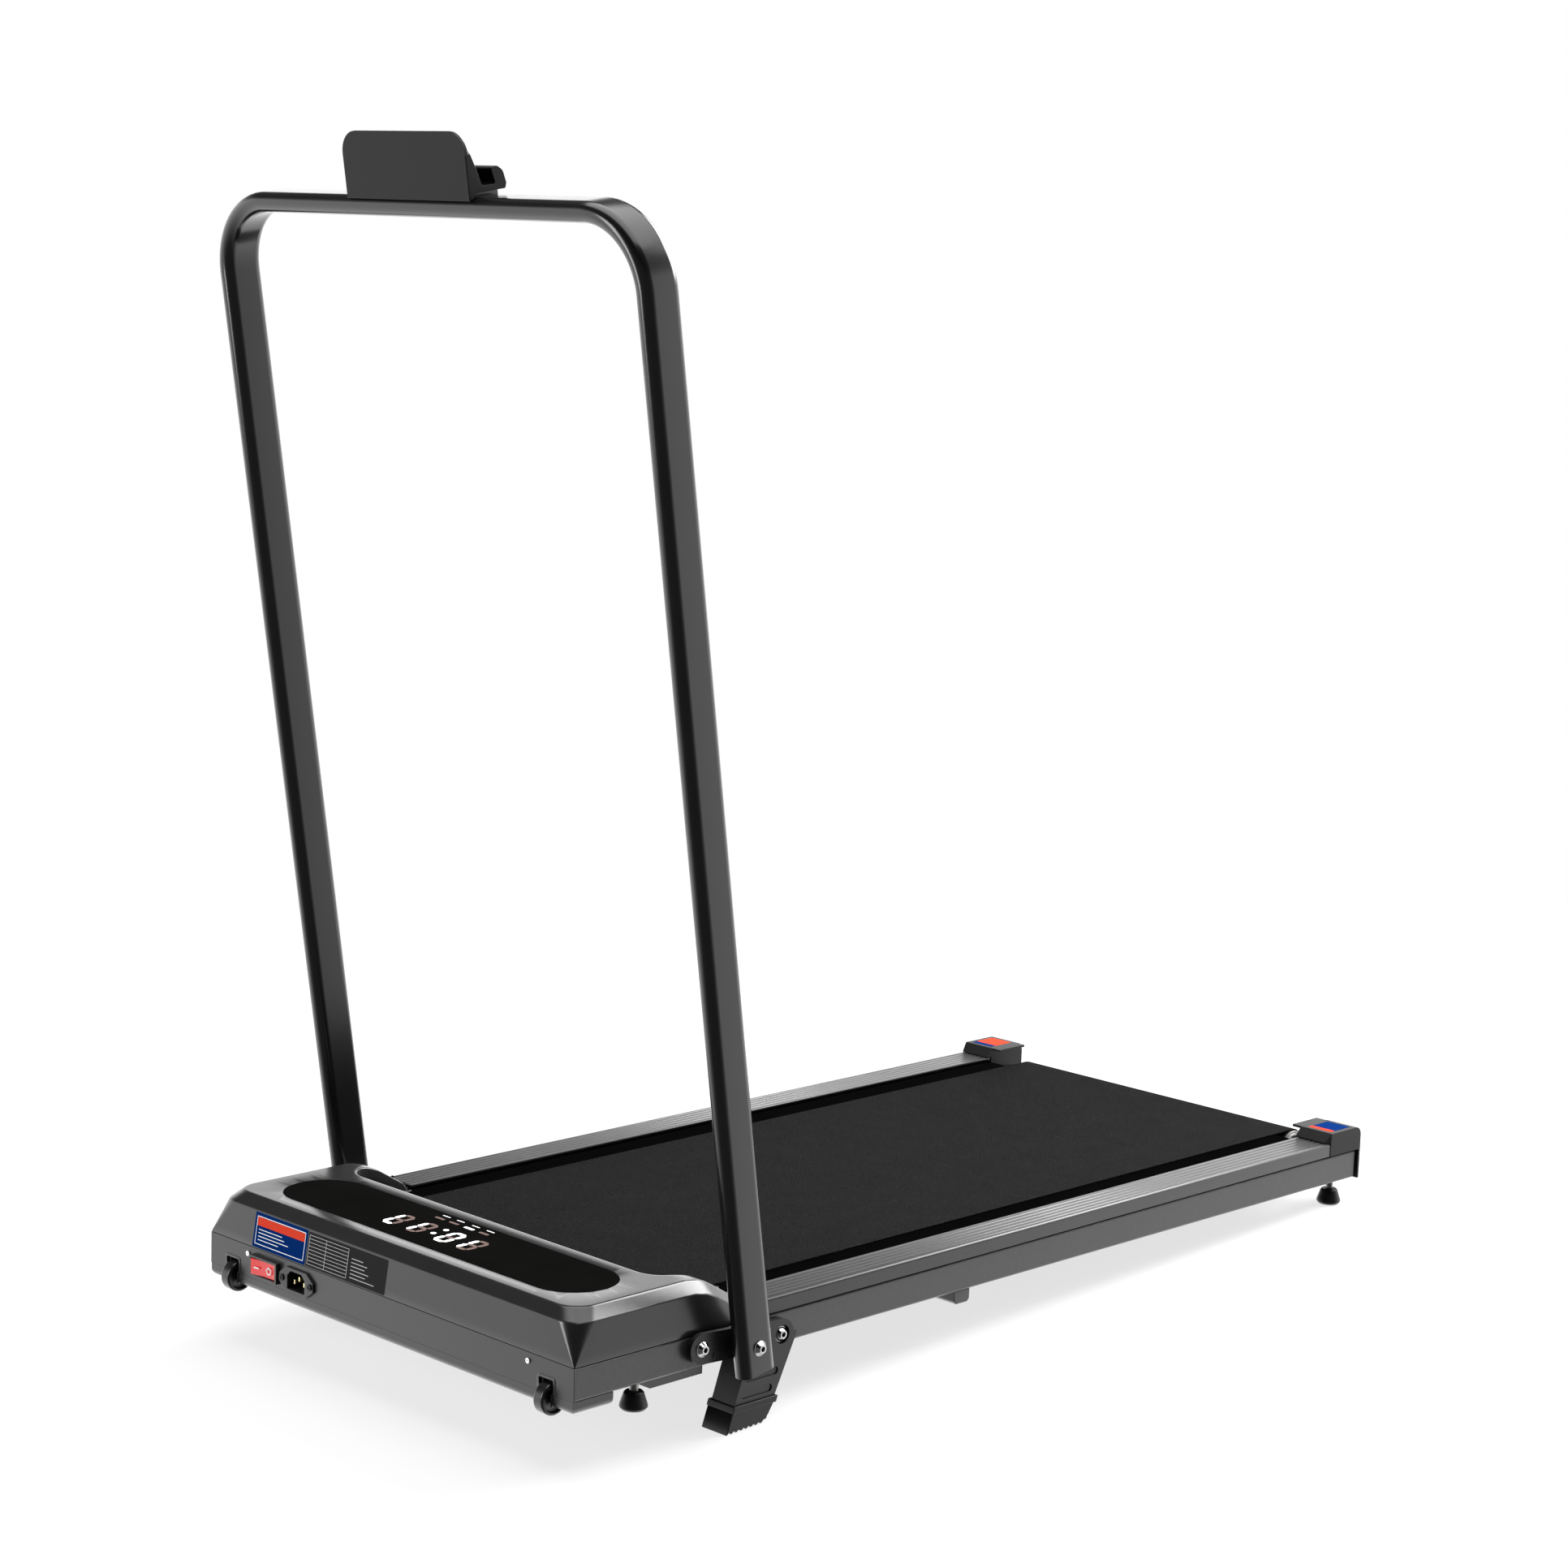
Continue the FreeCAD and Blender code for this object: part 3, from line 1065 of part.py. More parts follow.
def button_bolt(low_x, under_head, y, z):
    """A button-head bolt along +X with a hexagon socket, its head seated at under_head."""
    shank = Part.makeCylinder(size("bolt_r"), under_head - low_x, Vector(low_x, y, z),
                              Vector(1, 0, 0))
    tall, radius = size("head_tall"), size("head_r")
    head = Part.makeCone(radius, radius * 0.55, tall, Vector(under_head, y, z),
                         Vector(1, 0, 0))
    rim = Part.makeCylinder(radius, 0.6, Vector(under_head, y, z), Vector(1, 0, 0))
    corners = [(under_head + tall - 2.2, y + 2.6 * math.cos(math.radians(60 * n)),
                z + 2.6 * math.sin(math.radians(60 * n))) for n in range(6)]
    return shank.fuse([head, rim]).cut(prism(corners, Vector(4, 0, 0)))


def hinge_bolts():
    """The four frame bolts with their spacers, and the two pivot bolts with washers."""
    first, pivot, last = hinge_points()
    seat = size("plate_out")
    inside = size("rail_out") - size("rail_wall")
    bolts, spacers = [], []
    for y, z in (first, last):
        bolts += both_sides(button_bolt(size("rail_out"), seat, y, z))
        ring = Part.makeCylinder(size("spacer_r"), size("plate_gap"),
                                 Vector(size("rail_out"), y, z), Vector(1, 0, 0))
        ring = ring.cut(Part.makeCylinder(size("bolt_r"), 20, Vector(inside, y, z),
                                          Vector(1, 0, 0)))
        spacers += both_sides(ring)
    loose = size("side_gap")
    face = size("tube_x") + size("tube_half")
    bolts += both_sides(button_bolt(size("plate_in"), face + loose, *pivot))
    web_out = size("leg_out")
    ring = Part.makeCylinder(size("washer_r"),
                             size("tube_x") - size("tube_half") - loose - web_out,
                             Vector(web_out, *pivot), Vector(1, 0, 0))
    ring = ring.cut(Part.makeCylinder(size("bolt_r"), 20, Vector(inside, *pivot),
                                      Vector(1, 0, 0)))
    spacers += both_sides(ring)
    keep(shaped("hinge_bolt_shapes", Part.makeCompound(bolts)), "hinge_bolts")
    keep(shaped("hinge_spacer_shapes", Part.makeCompound(spacers)), "hinge_spacers")


# ---------------------------------------------------------------- handrail

def oval(radius, flat):
    """The flat-oval section of the handrail as a face, thin along X and long along Y."""
    h = flat / 2
    edges = [Part.LineSegment(Vector(radius, -h, 0), Vector(radius, h, 0)).toShape(),
             Part.Arc(Vector(radius, h, 0), Vector(0, h + radius, 0),
                      Vector(-radius, h, 0)).toShape(),
             Part.LineSegment(Vector(-radius, h, 0), Vector(-radius, -h, 0)).toShape(),
             Part.Arc(Vector(-radius, -h, 0), Vector(0, -h - radius, 0),
                      Vector(radius, -h, 0)).toShape()]
    return Part.Face(Part.Wire(edges))


def hoop(radius, flat, extra):
    """The bent U as a solid, upright, with its pivots on the X axis."""
    half, top, bend = size("tube_x"), size("rail_reach"), size("bend_r")
    low = -size("rail_below") - extra
    pieces = []
    for side in (1, -1):
        section = oval(radius, flat)
        leg_face = section.copy()
        leg_face.translate(Vector(side * half, 0, low))
        pieces.append(leg_face.extrude(Vector(0, 0, top - bend - low)))
        bend_face = section.copy()
        bend_face.translate(Vector(side * half, 0, top - bend))
        centre = Vector(side * (half - bend), 0, top - bend)
        pieces.append(bend_face.revolve(centre, Vector(0, -side, 0), 90))
    bar_face = oval(radius, flat)
    bar_face.rotate(Vector(0, 0, 0), Vector(0, 1, 0), 90)
    bar_face.translate(Vector(-(half - bend), 0, top))
    pieces.append(bar_face.extrude(Vector(2 * (half - bend), 0, 0)))
    return pieces[0].fuse(pieces[1:]).removeSplitter()


def handrail():
    """The U tube, leaning forward, with a bore through each foot for the pivot bolt."""
    spot = Vector(0, size("pivot_y"), size("pivot_z"))
    lean = Rotation(Vector(1, 0, 0), size("rail_lean"))
    wall = size("tube_wall")
    tube = hoop(size("tube_half"), size("tube_flat"), 0)
    tube = tube.cut(hoop(size("tube_half") - wall, size("tube_flat"), 5))
    span = 2 * size("tube_x") + 4 * size("tube_half")
    bore = Part.makeCylinder(size("bolt_r") + size("pivot_gap"), span,
                             Vector(-span / 2, 0, 0), Vector(1, 0, 0))
    keep(shaped("handrail_shape", tube.cut(bore)), "handrail_tube", spot, lean)
    return spot, lean


def phone_holder(spot, lean):
    """A hooked shelf for a phone: back plate, slot and lip, on a saddle over the bar."""
    bar_top = size("rail_reach") + size("tube_half")
    half, tall = size("holder_half"), size("holder_tall")
    wall, slot = size("holder_wall"), size("holder_slot")
    base = bar_top + size("holder_rise")
    floor = base + size("holder_floor")
    front = -(size("tube_flat") / 2 + size("tube_half") + size("holder_proud"))
    inner = front + size("holder_deep")
    profile = [(front, bar_top - 2.2), (front + 2.0, bar_top - 2.2), (front + 7.0, base),
               (inner + slot + 10, base), (inner + slot + 11.2, floor - 1),
               (inner + slot + 9.5, floor + 8), (inner + slot + 5.5, floor + 12.5),
               (inner + slot + 0.5, floor + 14), (inner + slot - 4.5, floor + 13),
               (inner + slot, floor), (inner, floor), (inner - 4.5, floor + 15.6),
               (front + wall - 2.2, bar_top + tall - 10), (front + 0.6, bar_top + tall - 2),
               (front, bar_top + tall - 2.0)]
    shelf = prism([(-half, y, z) for y, z in profile], Vector(2 * half, 0, 0))
    corner = size("holder_corner")
    mask = Part.makeBox(2 * half, 90, 200, Vector(-half, -45, bar_top - 50))
    crest = bar_top + tall - 2.0
    for side in (1, -1):
        tip = Part.makeBox(corner, 90, corner, Vector(half - corner if side > 0 else -half,
                                                      -45, crest - corner))
        tip = tip.cut(Part.makeCylinder(corner, 90, Vector(side * (half - corner), -45,
                                                           crest - corner), Vector(0, 1, 0)))
        mask = mask.cut(tip)
    keep(shaped("holder_shape", shelf.common(mask)), "phone_holder", spot, lean)
    inset, fit = size("saddle_inset"), size("shaft_gap")
    saddle = Part.makeBox(2 * (half - inset), 32, base - bar_top - fit + 12,
                          Vector(-half + inset, -13, bar_top - 12))
    grip = oval(size("tube_half"), size("tube_flat"))
    grip.rotate(Vector(0, 0, 0), Vector(0, 1, 0), 90)
    grip.translate(Vector(-half, 0, size("rail_reach")))
    saddle = saddle.cut(grip.extrude(Vector(2 * half, 0, 0)))
    below = Part.makeBox(2 * half, 60, 8.0, Vector(-half, -30, bar_top - 12))
    saddle = saddle.cut(below)
    solids = sorted(saddle.Solids, key=lambda s: s.Volume)
    keep(shaped("saddle_shape", solids[-1]), "holder_saddle", spot, lean)


# ---------------------------------------------------------------- rear end caps

def end_caps():
    """Moulded caps over the rail ends: a block, a tab over the belt's corner, a back plate."""
    front, top, back = size("cap_front"), size("cap_top"), size("cap_rear")
    out, low = size("cap_out"), size("rail_top") + size("skirt_shadow")
    wall = size("cap_wall")
    inner, bend = size("cap_in"), size("cap_round")
    far = back + size("cap_back")
    profile = [(front, low), (back, low), (back, size("cap_low")), (far, size("cap_low")),
               (far, top - bend)]
    for step in range(1, 6):
        angle = math.radians(90 * step / 6)
        profile.append((far - bend + bend * math.cos(angle), top - bend + bend * math.sin(angle)))
    profile += [(far - bend, top), (front + 1.5, top), (front - 6.5, top - 8.5),
                (front - 6.5, size("skirt_top") + size("window_gap")),
                (front, size("skirt_top") + size("window_gap"))]
    body = prism([(inner, y, z) for y, z in profile], Vector(out - inner, 0, 0))
    trim = prism([(out - 4, front - 10, low - 1), (out + 1, front - 10, low - 1),
                  (out + 1, front + 4, low - 1)], Vector(0, 0, 60))
    body = body.cut(trim)
    tab = Part.makeBox(size("cap_tab") + 2, far - bend - front - 2, wall,
                       Vector(inner - size("cap_tab"), front + 2, top - wall))
    inside = Part.makeBox(out - inner - 2 * wall, back - front - wall, top - wall - low + 1,
                          Vector(inner + wall, front + wall, low - 1))
    body = body.fuse(tab).cut(inside)
    hole = Part.makeCylinder(size("tension_head_r") + size("window_gap"), 20,
                             Vector(size("tension_x"), back - 8, size("roller_z")),
                             Vector(0, 1, 0))
    body = body.cut(hole)
    over_belt = Part.makeBox(40, 200, 40, Vector(inner - 40, front - 20,
                                                 size("belt_top") + size("belt_thick") - 40))
    room = size("weld_gap")
    wide, long, tall = size("block_wide"), size("block_long"), size("block_tall")
    over_block = Part.makeBox(wide + 2 * room, long + 2 * room, tall + 2 * room,
                              Vector(size("block_in") - room,
                                     size("rear_roller_y") - long / 2 - room,
                                     size("roller_z") - tall / 2 - room))
    body = body.cut([over_belt, over_block])
    pair(shaped("end_cap_shape", body.removeSplitter()), "end_cap")


# ---------------------------------------------------------------- all of it

def build():
    """Draw every sub-part in the deck's frame."""
    side_rails()
    front_beam()
    cross_tubes()
    deck()
    walking_belt()
    roller("front", "front_roller_y", True)
    roller("rear", "rear_roller_y", False)
    keep(grouped("block_group", axle_blocks), "axle_blocks")
    tension_bolts()
    drive()
    controller()
    hood()
    window()
    pan()
    rocker()
    inlet()
    front_screws()
    wheels()
    foot("front", "foot_front_y")
    foot("rear", "foot_rear_y")
    hinge_and_leg()
    hinge_bolts()
    spot, lean = handrail()
    phone_holder(spot, lean)
    end_caps()


def incline():
    """The deck's slope in degrees."""
    return math.degrees(math.atan(floor_slope()))


def stand_up():
    """Tilt all sub-parts by the incline, then set them down centred on the floor."""
    turn = Placement(Vector(0, 0, 0), Rotation(Vector(1, 0, 0), -incline()))
    for thing, local in finished:
        if local is not None:
            thing.Placement = turn.multiply(local)
    doc.recompute()
    whole = Part.makeCompound([thing.Shape for thing, _ in finished]).optimalBoundingBox()
    shift = Vector(0, -(whole.YMin + whole.YMax) / 2, -whole.ZMin)
    floor = Placement(shift, Rotation())
    for thing, local in finished:
        if local is not None:
            thing.Placement = floor.multiply(thing.Placement)
    doc.recompute()
    return floor.multiply(turn)


def check_and_write():
    """Stop on anything that failed, then write one file for each sub-part."""
    for thing in doc.Objects:
        if "Invalid" in thing.State or "Error" in thing.State:
            raise RuntimeError("failed: %s %s" % (thing.Label, thing.State))
    os.makedirs("parts", exist_ok=True)
    for thing, _ in finished:
        shape = thing.Shape
        if shape.isNull() or not shape.isValid() or not shape.Solids:
            raise RuntimeError("bad shape: " + thing.Label)
        shape.exportStep(os.path.join("parts", thing.Label + ".step"))
    print("%d sub-parts written" % len(finished))


build()
STAND = stand_up()
check_and_write()
print("incline %.3f degrees" % incline())
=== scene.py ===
import json
import math

import bmesh
import bpy
import numpy as np
from mathutils import Matrix, Vector
from mathutils.geometry import convex_hull_2d, delaunay_2d_cdt


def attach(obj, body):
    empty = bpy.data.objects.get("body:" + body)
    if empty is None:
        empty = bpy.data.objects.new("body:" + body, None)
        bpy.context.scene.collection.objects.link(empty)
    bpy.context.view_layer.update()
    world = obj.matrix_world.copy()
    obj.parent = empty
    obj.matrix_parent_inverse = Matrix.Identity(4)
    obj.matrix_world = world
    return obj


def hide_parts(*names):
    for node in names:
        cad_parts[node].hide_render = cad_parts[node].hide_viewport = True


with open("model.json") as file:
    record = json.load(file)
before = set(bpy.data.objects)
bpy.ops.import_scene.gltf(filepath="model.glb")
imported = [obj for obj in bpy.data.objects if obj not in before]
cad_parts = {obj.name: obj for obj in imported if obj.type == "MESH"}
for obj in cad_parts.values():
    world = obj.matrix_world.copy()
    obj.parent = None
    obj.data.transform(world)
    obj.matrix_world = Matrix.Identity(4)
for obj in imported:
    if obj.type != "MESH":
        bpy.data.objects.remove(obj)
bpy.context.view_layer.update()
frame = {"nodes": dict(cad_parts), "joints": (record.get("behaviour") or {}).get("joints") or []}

# The looks of a folding walking treadmill.  Shapes are drawn in millimetres in the deck's own
# frame: X across, Y from the front face to the rear, Z square to the deck.  The deck is tilted
# by its stand legs, so each shape is turned by that tilt as it is put into its mesh.

MM = 0.001
SIDES = ("right", "left")


# ---------------- the deck's frame

def joint_place(name):
    """Where a joint is, in metres in the row frame."""
    found = next(j for j in frame["joints"] if j["name"] == name)
    return np.array(found["pos_m"])


RUN = joint_place("rear_roller_spin") - joint_place("front_roller_spin")
TILT = math.atan2(RUN[2], RUN[1])
TURN = np.array([[1, 0, 0],
                 [0, math.cos(TILT), -math.sin(TILT)],
                 [0, math.sin(TILT), math.cos(TILT)]])


def node_points(name):
    """A CAD node's vertices as an array, in metres in the row frame."""
    mesh = frame["nodes"][name].data
    flat = np.empty(3 * len(mesh.vertices), np.float32)
    mesh.vertices.foreach_get("co", flat)
    return flat.reshape(-1, 3).astype(float)


RAIL_LOW = 30.0
FACE_Y = (node_points("front_beam") @ TURN)[:, 1].min()
BASE_Z = (node_points("side_rail_right") @ TURN)[:, 2].min() - RAIL_LOW * MM
SHIFT = np.array([0, FACE_Y, BASE_Z])


def to_row(points):
    """Deck points in millimetres, as row points in metres."""
    return (np.asarray(points, float) * MM + SHIFT) @ TURN.T


def to_deck(points):
    """Row points in metres, as deck points in millimetres."""
    return (np.asarray(points, float) @ TURN - SHIFT) / MM


def deck_box(name):
    """Lowest and highest corner of a CAD node, in millimetres in the deck's frame."""
    points = to_deck(node_points(name))
    return points.min(0), points.max(0)


# ---------------- making meshes

def arc_corner(before, corner, after, radius, steps):
    """Points of the arc that rounds one corner of a polygon.

    The arc's centre lies on the bisector, radius / sin(half angle) from the corner."""
    a, b = before - corner, after - corner
    a, b = a / np.linalg.norm(a), b / np.linalg.norm(b)
    half = math.acos(max(-1.0, min(1.0, float(a @ b)))) / 2
    if radius <= 0 or half > math.pi / 2 - 1e-4:
        return np.repeat(corner[None], steps + 1, 0)
    middle = (a + b) / np.linalg.norm(a + b)
    centre = corner + middle * radius / math.sin(half)
    start, end = corner + a * radius / math.tan(half), corner + b * radius / math.tan(half)
    u, v = (start - centre) / radius, (end - centre) / radius
    sweep = math.acos(max(-1.0, min(1.0, float(u @ v))))
    t = np.linspace(0, 1, steps + 1)[:, None]
    return centre + radius * (np.sin((1 - t) * sweep) * u + np.sin(t * sweep) * v) / math.sin(sweep)


def rounded(corners, radii, steps=4, closed=True):
    """An outline with its corners rounded, as one array of points.

    Each corner gives steps + 1 points, so outlines with as many corners match point by point."""
    corners = np.asarray(corners, float)
    radii = np.broadcast_to(radii, len(corners))
    parts = []
    for i, corner in enumerate(corners):
        if not closed and i in (0, len(corners) - 1):
            parts.append(corner[None])
            continue
        after = corners[(i + 1) % len(corners)]
        parts.append(arc_corner(corners[i - 1], corner, after, radii[i], steps))
    return np.concatenate(parts)


def inward(outline, amount):
    """A closed outline moved inwards: each point goes along the mean of its sides' normals."""
    ahead = np.roll(outline, -1, 0) - outline
    long = np.linalg.norm(ahead, axis=1, keepdims=True)
    ahead = ahead / np.maximum(long, 1e-9)
    for _ in range(8):
        short = long[:, 0] < 1e-6
        ahead[short] = np.roll(ahead, 1, 0)[short]
    behind = np.roll(ahead, 1, 0)
    area = np.sum(outline[:, 0] * np.roll(outline[:, 1], -1)
                  - outline[:, 1] * np.roll(outline[:, 0], -1))
    side = 1.0 if area > 0 else -1.0
    turn = np.stack([-(ahead + behind)[:, 1], (ahead + behind)[:, 0]], 1) * side
    size = np.linalg.norm(turn, axis=1, keepdims=True)
    return outline + amount * 2 * turn / np.maximum(size ** 2, 1.0)


def skin(rings, around=True, along=False, caps=True):
    """Vertices and faces of rings joined in order; around closes each ring on itself,
    along joins the last ring to the first, and caps closes the two ends."""
    rings = np.asarray(rings, float)
    n, m = rings.shape[:2]
    i = np.arange(n if along else n - 1)[:, None]
    j = np.arange(m if around else m - 1)[None, :]
    i2, j2 = (i + 1) % n, (j + 1) % m
    quads = np.stack([i * m + j, i * m + j2, i2 * m + j2, i2 * m + j], -1).reshape(-1, 4)
    faces = quads.tolist()
    if caps and not along:
        faces += [list(range(m))[::-1], list(range((n - 1) * m, n * m))]
    return rings.reshape(-1, 3), faces


AXES = {"x": (1, 2, 0), "y": (0, 2, 1), "z": (0, 1, 2)}


def ring_at(flat, level, axis):
    """A flat outline as a ring at a level along an axis."""
    u, v, w = AXES[axis]
    ring = np.empty((len(flat), 3))
    ring[:, u], ring[:, v], ring[:, w] = flat[:, 0], flat[:, 1], level
    return ring


def slab(outline, low, high, edge, axis, steps=3):
    """A plate between two levels along an axis, its rims rounded by a quarter circle:
    a ring's inset is edge (1 - sin a) at a depth of edge (1 - cos a)."""
    turn = np.linspace(0, math.pi / 2, steps + 1)
    inset = np.concatenate([edge * (1 - np.sin(turn)), edge * (1 - np.sin(turn[::-1]))])
    level = np.concatenate([low + edge * (1 - np.cos(turn)),
                            high - edge * (1 - np.cos(turn[::-1]))])
    return skin([ring_at(inward(outline, amount), height, axis)
                 for amount, height in zip(inset, level)])


def oblong(low, high, radius, steps=4):
    """A rounded rectangle between two corners."""
    (a, c), (b, d) = low, high
    return rounded([(a, c), (b, c), (b, d), (a, d)], radius, steps)


def lathe(profile, centre, axis="x", count=48):
    """A profile of (along, radius) pairs turned about an axis through centre:
    at angle a the ring is (r cos a, r sin a)."""
    profile = np.asarray(profile, float)
    angle = np.linspace(0, 2 * math.pi, count, endpoint=False)
    u, v, w = AXES[axis]
    rings = np.empty((len(profile), count, 3))
    rings[:, :, u] = profile[:, 1:] * np.cos(angle)
    rings[:, :, v] = profile[:, 1:] * np.sin(angle)
    rings[:, :, w] = profile[:, :1]
    return skin(rings + np.asarray(centre, float))


def sleeve(outer, inner, near, far):
    """A ring or tube along Y: the outer outline, then the inner one, between two levels."""
    return skin([ring_at(outer, near, "y"), ring_at(outer, far, "y"),
                 ring_at(inner, far, "y"), ring_at(inner, near, "y")], along=True)


def swept(path, out, section, axis):
    """A section carried along a path: its first measure along the path's normal out, its
    second along the axis."""
    u, v, w = AXES[axis]
    rings = np.empty((len(path), len(section), 3))
    rings[:, :, u] = path[:, :1] + out[:, :1] * section[:, 0]
    rings[:, :, v] = path[:, 1:] + out[:, 1:] * section[:, 0]
    rings[:, :, w] = section[:, 1]
    return rings


def mirrored(part):
    """The same part on the other side of the deck's middle."""
    points, faces = part
    return points * np.array([-1, 1, 1]), [face[::-1] for face in faces]


def merged(parts):
    """Several parts as one set of vertices and faces."""
    points, faces, base = [], [], 0
    for some, theirs in parts:
        points.append(some)
        faces += [[base + k for k in face] for face in theirs]
        base += len(some)
    return np.concatenate(points), faces


def put(name, data):
    """A new object in the scene."""
    thing = bpy.data.objects.new(name, data)
    bpy.context.scene.collection.objects.link(thing)
    return thing


def shade_evenly(thing):
    """Smooth shading weighted by the faces' areas, so that flats look flat."""
    thing.data.polygons.foreach_set("use_smooth", [True] * len(thing.data.polygons))
    steady = thing.modifiers.new("even shading", "WEIGHTED_NORMAL")
    steady.keep_sharp = True


def piece(name, parts, material, body, stands_for=(), weld=0.0):
    """An object from parts drawn on the deck, its faces turned outwards, riding on a body."""
    points, faces = merged(parts if isinstance(parts, list) else [parts])
    mesh = bpy.data.meshes.new(name)
    mesh.from_pydata(to_row(points).tolist(), [], faces)
    shape = bmesh.new()
    shape.from_mesh(mesh)
    if weld:
        bmesh.ops.remove_doubles(shape, verts=shape.verts, dist=weld * MM)
    bmesh.ops.dissolve_degenerate(shape, dist=1e-7, edges=shape.edges)
    bmesh.ops.recalc_face_normals(shape, faces=shape.faces)
    shape.to_mesh(mesh)
    shape.free()
    thing = put(name, mesh)
    mesh.materials.append(material)
    shade_evenly(thing)
    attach(thing, body)
    if stands_for:
        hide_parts(*stands_for)
    return thing


def on_both_sides(name, part, material, stands_for, weld=0.0):
    """A part of the right side and its mirror image, as two pieces on the frame."""
    for word, shape in zip(SIDES, (part, mirrored(part))):
        piece("%s_%s" % (name, word), shape, material, "frame",
              ["%s_%s" % (stands_for, word)], weld)


# ---------------- shared effects

def effect(name, inputs, outputs):
    """An empty shader group with named sockets, and its two ends."""
    tree = bpy.data.node_groups.new(name, "ShaderNodeTree")
    for label, value in inputs.items():
        kind = "NodeSocketVector" if value is None else "NodeSocketFloat"
        socket = tree.interface.new_socket(label, in_out="INPUT", socket_type=kind)
        if value is not None:
            socket.default_value = value
    for label in outputs:
        tree.interface.new_socket(label, in_out="OUTPUT", socket_type="NodeSocketFloat")
    start = tree.nodes.new("NodeGroupInput")
    end = tree.nodes.new("NodeGroupOutput")
    return tree, start, end


def feed(tree, socket, value):
    """Give an input socket a plain value, or link another socket to it."""
    if isinstance(value, bpy.types.NodeSocket):
        tree.links.new(value, socket)
    else:
        socket.default_value = value


def add_math(tree, operation, *values, clamp=False):
    """A Math node whose inputs are sockets or plain numbers; gives its output."""
    node = tree.nodes.new("ShaderNodeMath")
    node.operation = operation
    node.use_clamp = clamp
    for socket, value in zip(node.inputs, values):
        feed(tree, socket, value)
    return node.outputs[0]


def add_fade(tree, value, start, end, first, last):
    """A smooth change of a value: first up to start, and last from end on."""
    node = tree.nodes.new("ShaderNodeMapRange")
    node.interpolation_type = "SMOOTHSTEP"
    for label, level in (("Value", value), ("From Min", start), ("From Max", end),
                         ("To Min", first), ("To Max", last)):
        feed(tree, node.inputs[label], level)
    return node.outputs["Result"]


def split_axes(tree, vector):
    """The X, Y and Z outputs of a vector."""
    node = tree.nodes.new("ShaderNodeSeparateXYZ")
    tree.links.new(vector, node.inputs[0])
    return node.outputs


def add_noise(tree, vector, scale, detail):
    """A noise texture on a vector; gives its value."""
    node = tree.nodes.new("ShaderNodeTexNoise")
    for label, value in (("Vector", vector), ("Scale", scale), ("Detail", detail)):
        feed(tree, node.inputs[label], value)
    return node.outputs["Fac"]


def make_grain():
    """Moulded or sprayed grain: fine noise, with a slower noise that varies it in patches."""
    tree, start, end = effect("surface grain", {"Place": None, "Scale": 900.0, "Patches": 20.0},
                              ["Height", "Patch"])
    fine = add_noise(tree, start.outputs["Place"], start.outputs["Scale"], 2.0)
    slow = add_noise(tree, start.outputs["Place"], start.outputs["Patches"], 3.0)
    tree.links.new(fine, end.inputs["Height"])
    tree.links.new(slow, end.inputs["Patch"])
    return tree


def make_dust():
    """Dust: more where the surface faces up, broken up by noise."""
    tree, start, end = effect("settled dust", {"Place": None, "Amount": 0.2}, ["Mask"])
    facing = split_axes(tree, tree.nodes.new("ShaderNodeNewGeometry").outputs["Normal"])
    up = add_math(tree, "POWER", add_math(tree, "MAXIMUM", facing["Z"], 0.0), 4.0)
    cloud = add_noise(tree, start.outputs["Place"], 35.0, 4.0)
    film = add_math(tree, "MULTIPLY", up, cloud)
    feed(tree, end.inputs["Mask"], add_math(tree, "MULTIPLY", film, start.outputs["Amount"]))
    return tree


def make_wear():
    """Edge wear: the surface's pointiness above a level, broken up by noise."""
    tree, start, end = effect("edge wear", {"Place": None, "Amount": 0.3}, ["Mask"])
    shape = tree.nodes.new("ShaderNodeNewGeometry")
    sharp = add_math(tree, "MULTIPLY_ADD", shape.outputs["Pointiness"], 9.0, -4.9, clamp=True)
    chips = add_noise(tree, start.outputs["Place"], 160.0, 3.0)
    broken = add_math(tree, "MULTIPLY", sharp, chips)
    feed(tree, end.inputs["Mask"], add_math(tree, "MULTIPLY", broken, start.outputs["Amount"]))
    return tree


def make_weave():
    """A diamond weave: the product of two waves along the diagonals, pitch apart."""
    tree, start, end = effect("diamond weave", {"Place": None, "Pitch": 0.003}, ["Height"])
    place = split_axes(tree, start.outputs["Place"])
    turns = add_math(tree, "DIVIDE", 2 * math.pi, start.outputs["Pitch"])
    waves = []
    for operation in ("ADD", "SUBTRACT"):
        slant = add_math(tree, operation, place["X"], place["Y"])
        waves.append(add_math(tree, "SINE", add_math(tree, "MULTIPLY", slant, turns)))
    both = add_math(tree, "MULTIPLY", waves[0], waves[1])
    speckle = add_noise(tree, start.outputs["Place"], 700.0, 2.0)
    feed(tree, end.inputs["Height"], add_math(tree, "MULTIPLY_ADD", both, 0.35, speckle))
    return tree


GRAIN, DUST, WEAR, WEAVE = make_grain(), make_dust(), make_wear(), make_weave()


def place_in(tree):
    """Where a point lies on its object."""
    return tree.nodes.new("ShaderNodeTexCoord").outputs["Object"]


def use(tree, effect_tree, place, **values):
    """One of the shared effects placed in a material."""
    node = tree.nodes.new("ShaderNodeGroup")
    node.node_tree = effect_tree
    tree.links.new(place, node.inputs["Place"])
    for label, value in values.items():
        node.inputs[label].default_value = value
    return node


def grey(level, warmth=0.0):
    """A grey with a slight warmth, linear, as a colour."""
    return (level * (1 + warmth), level, level * (1 - warmth), 1.0)


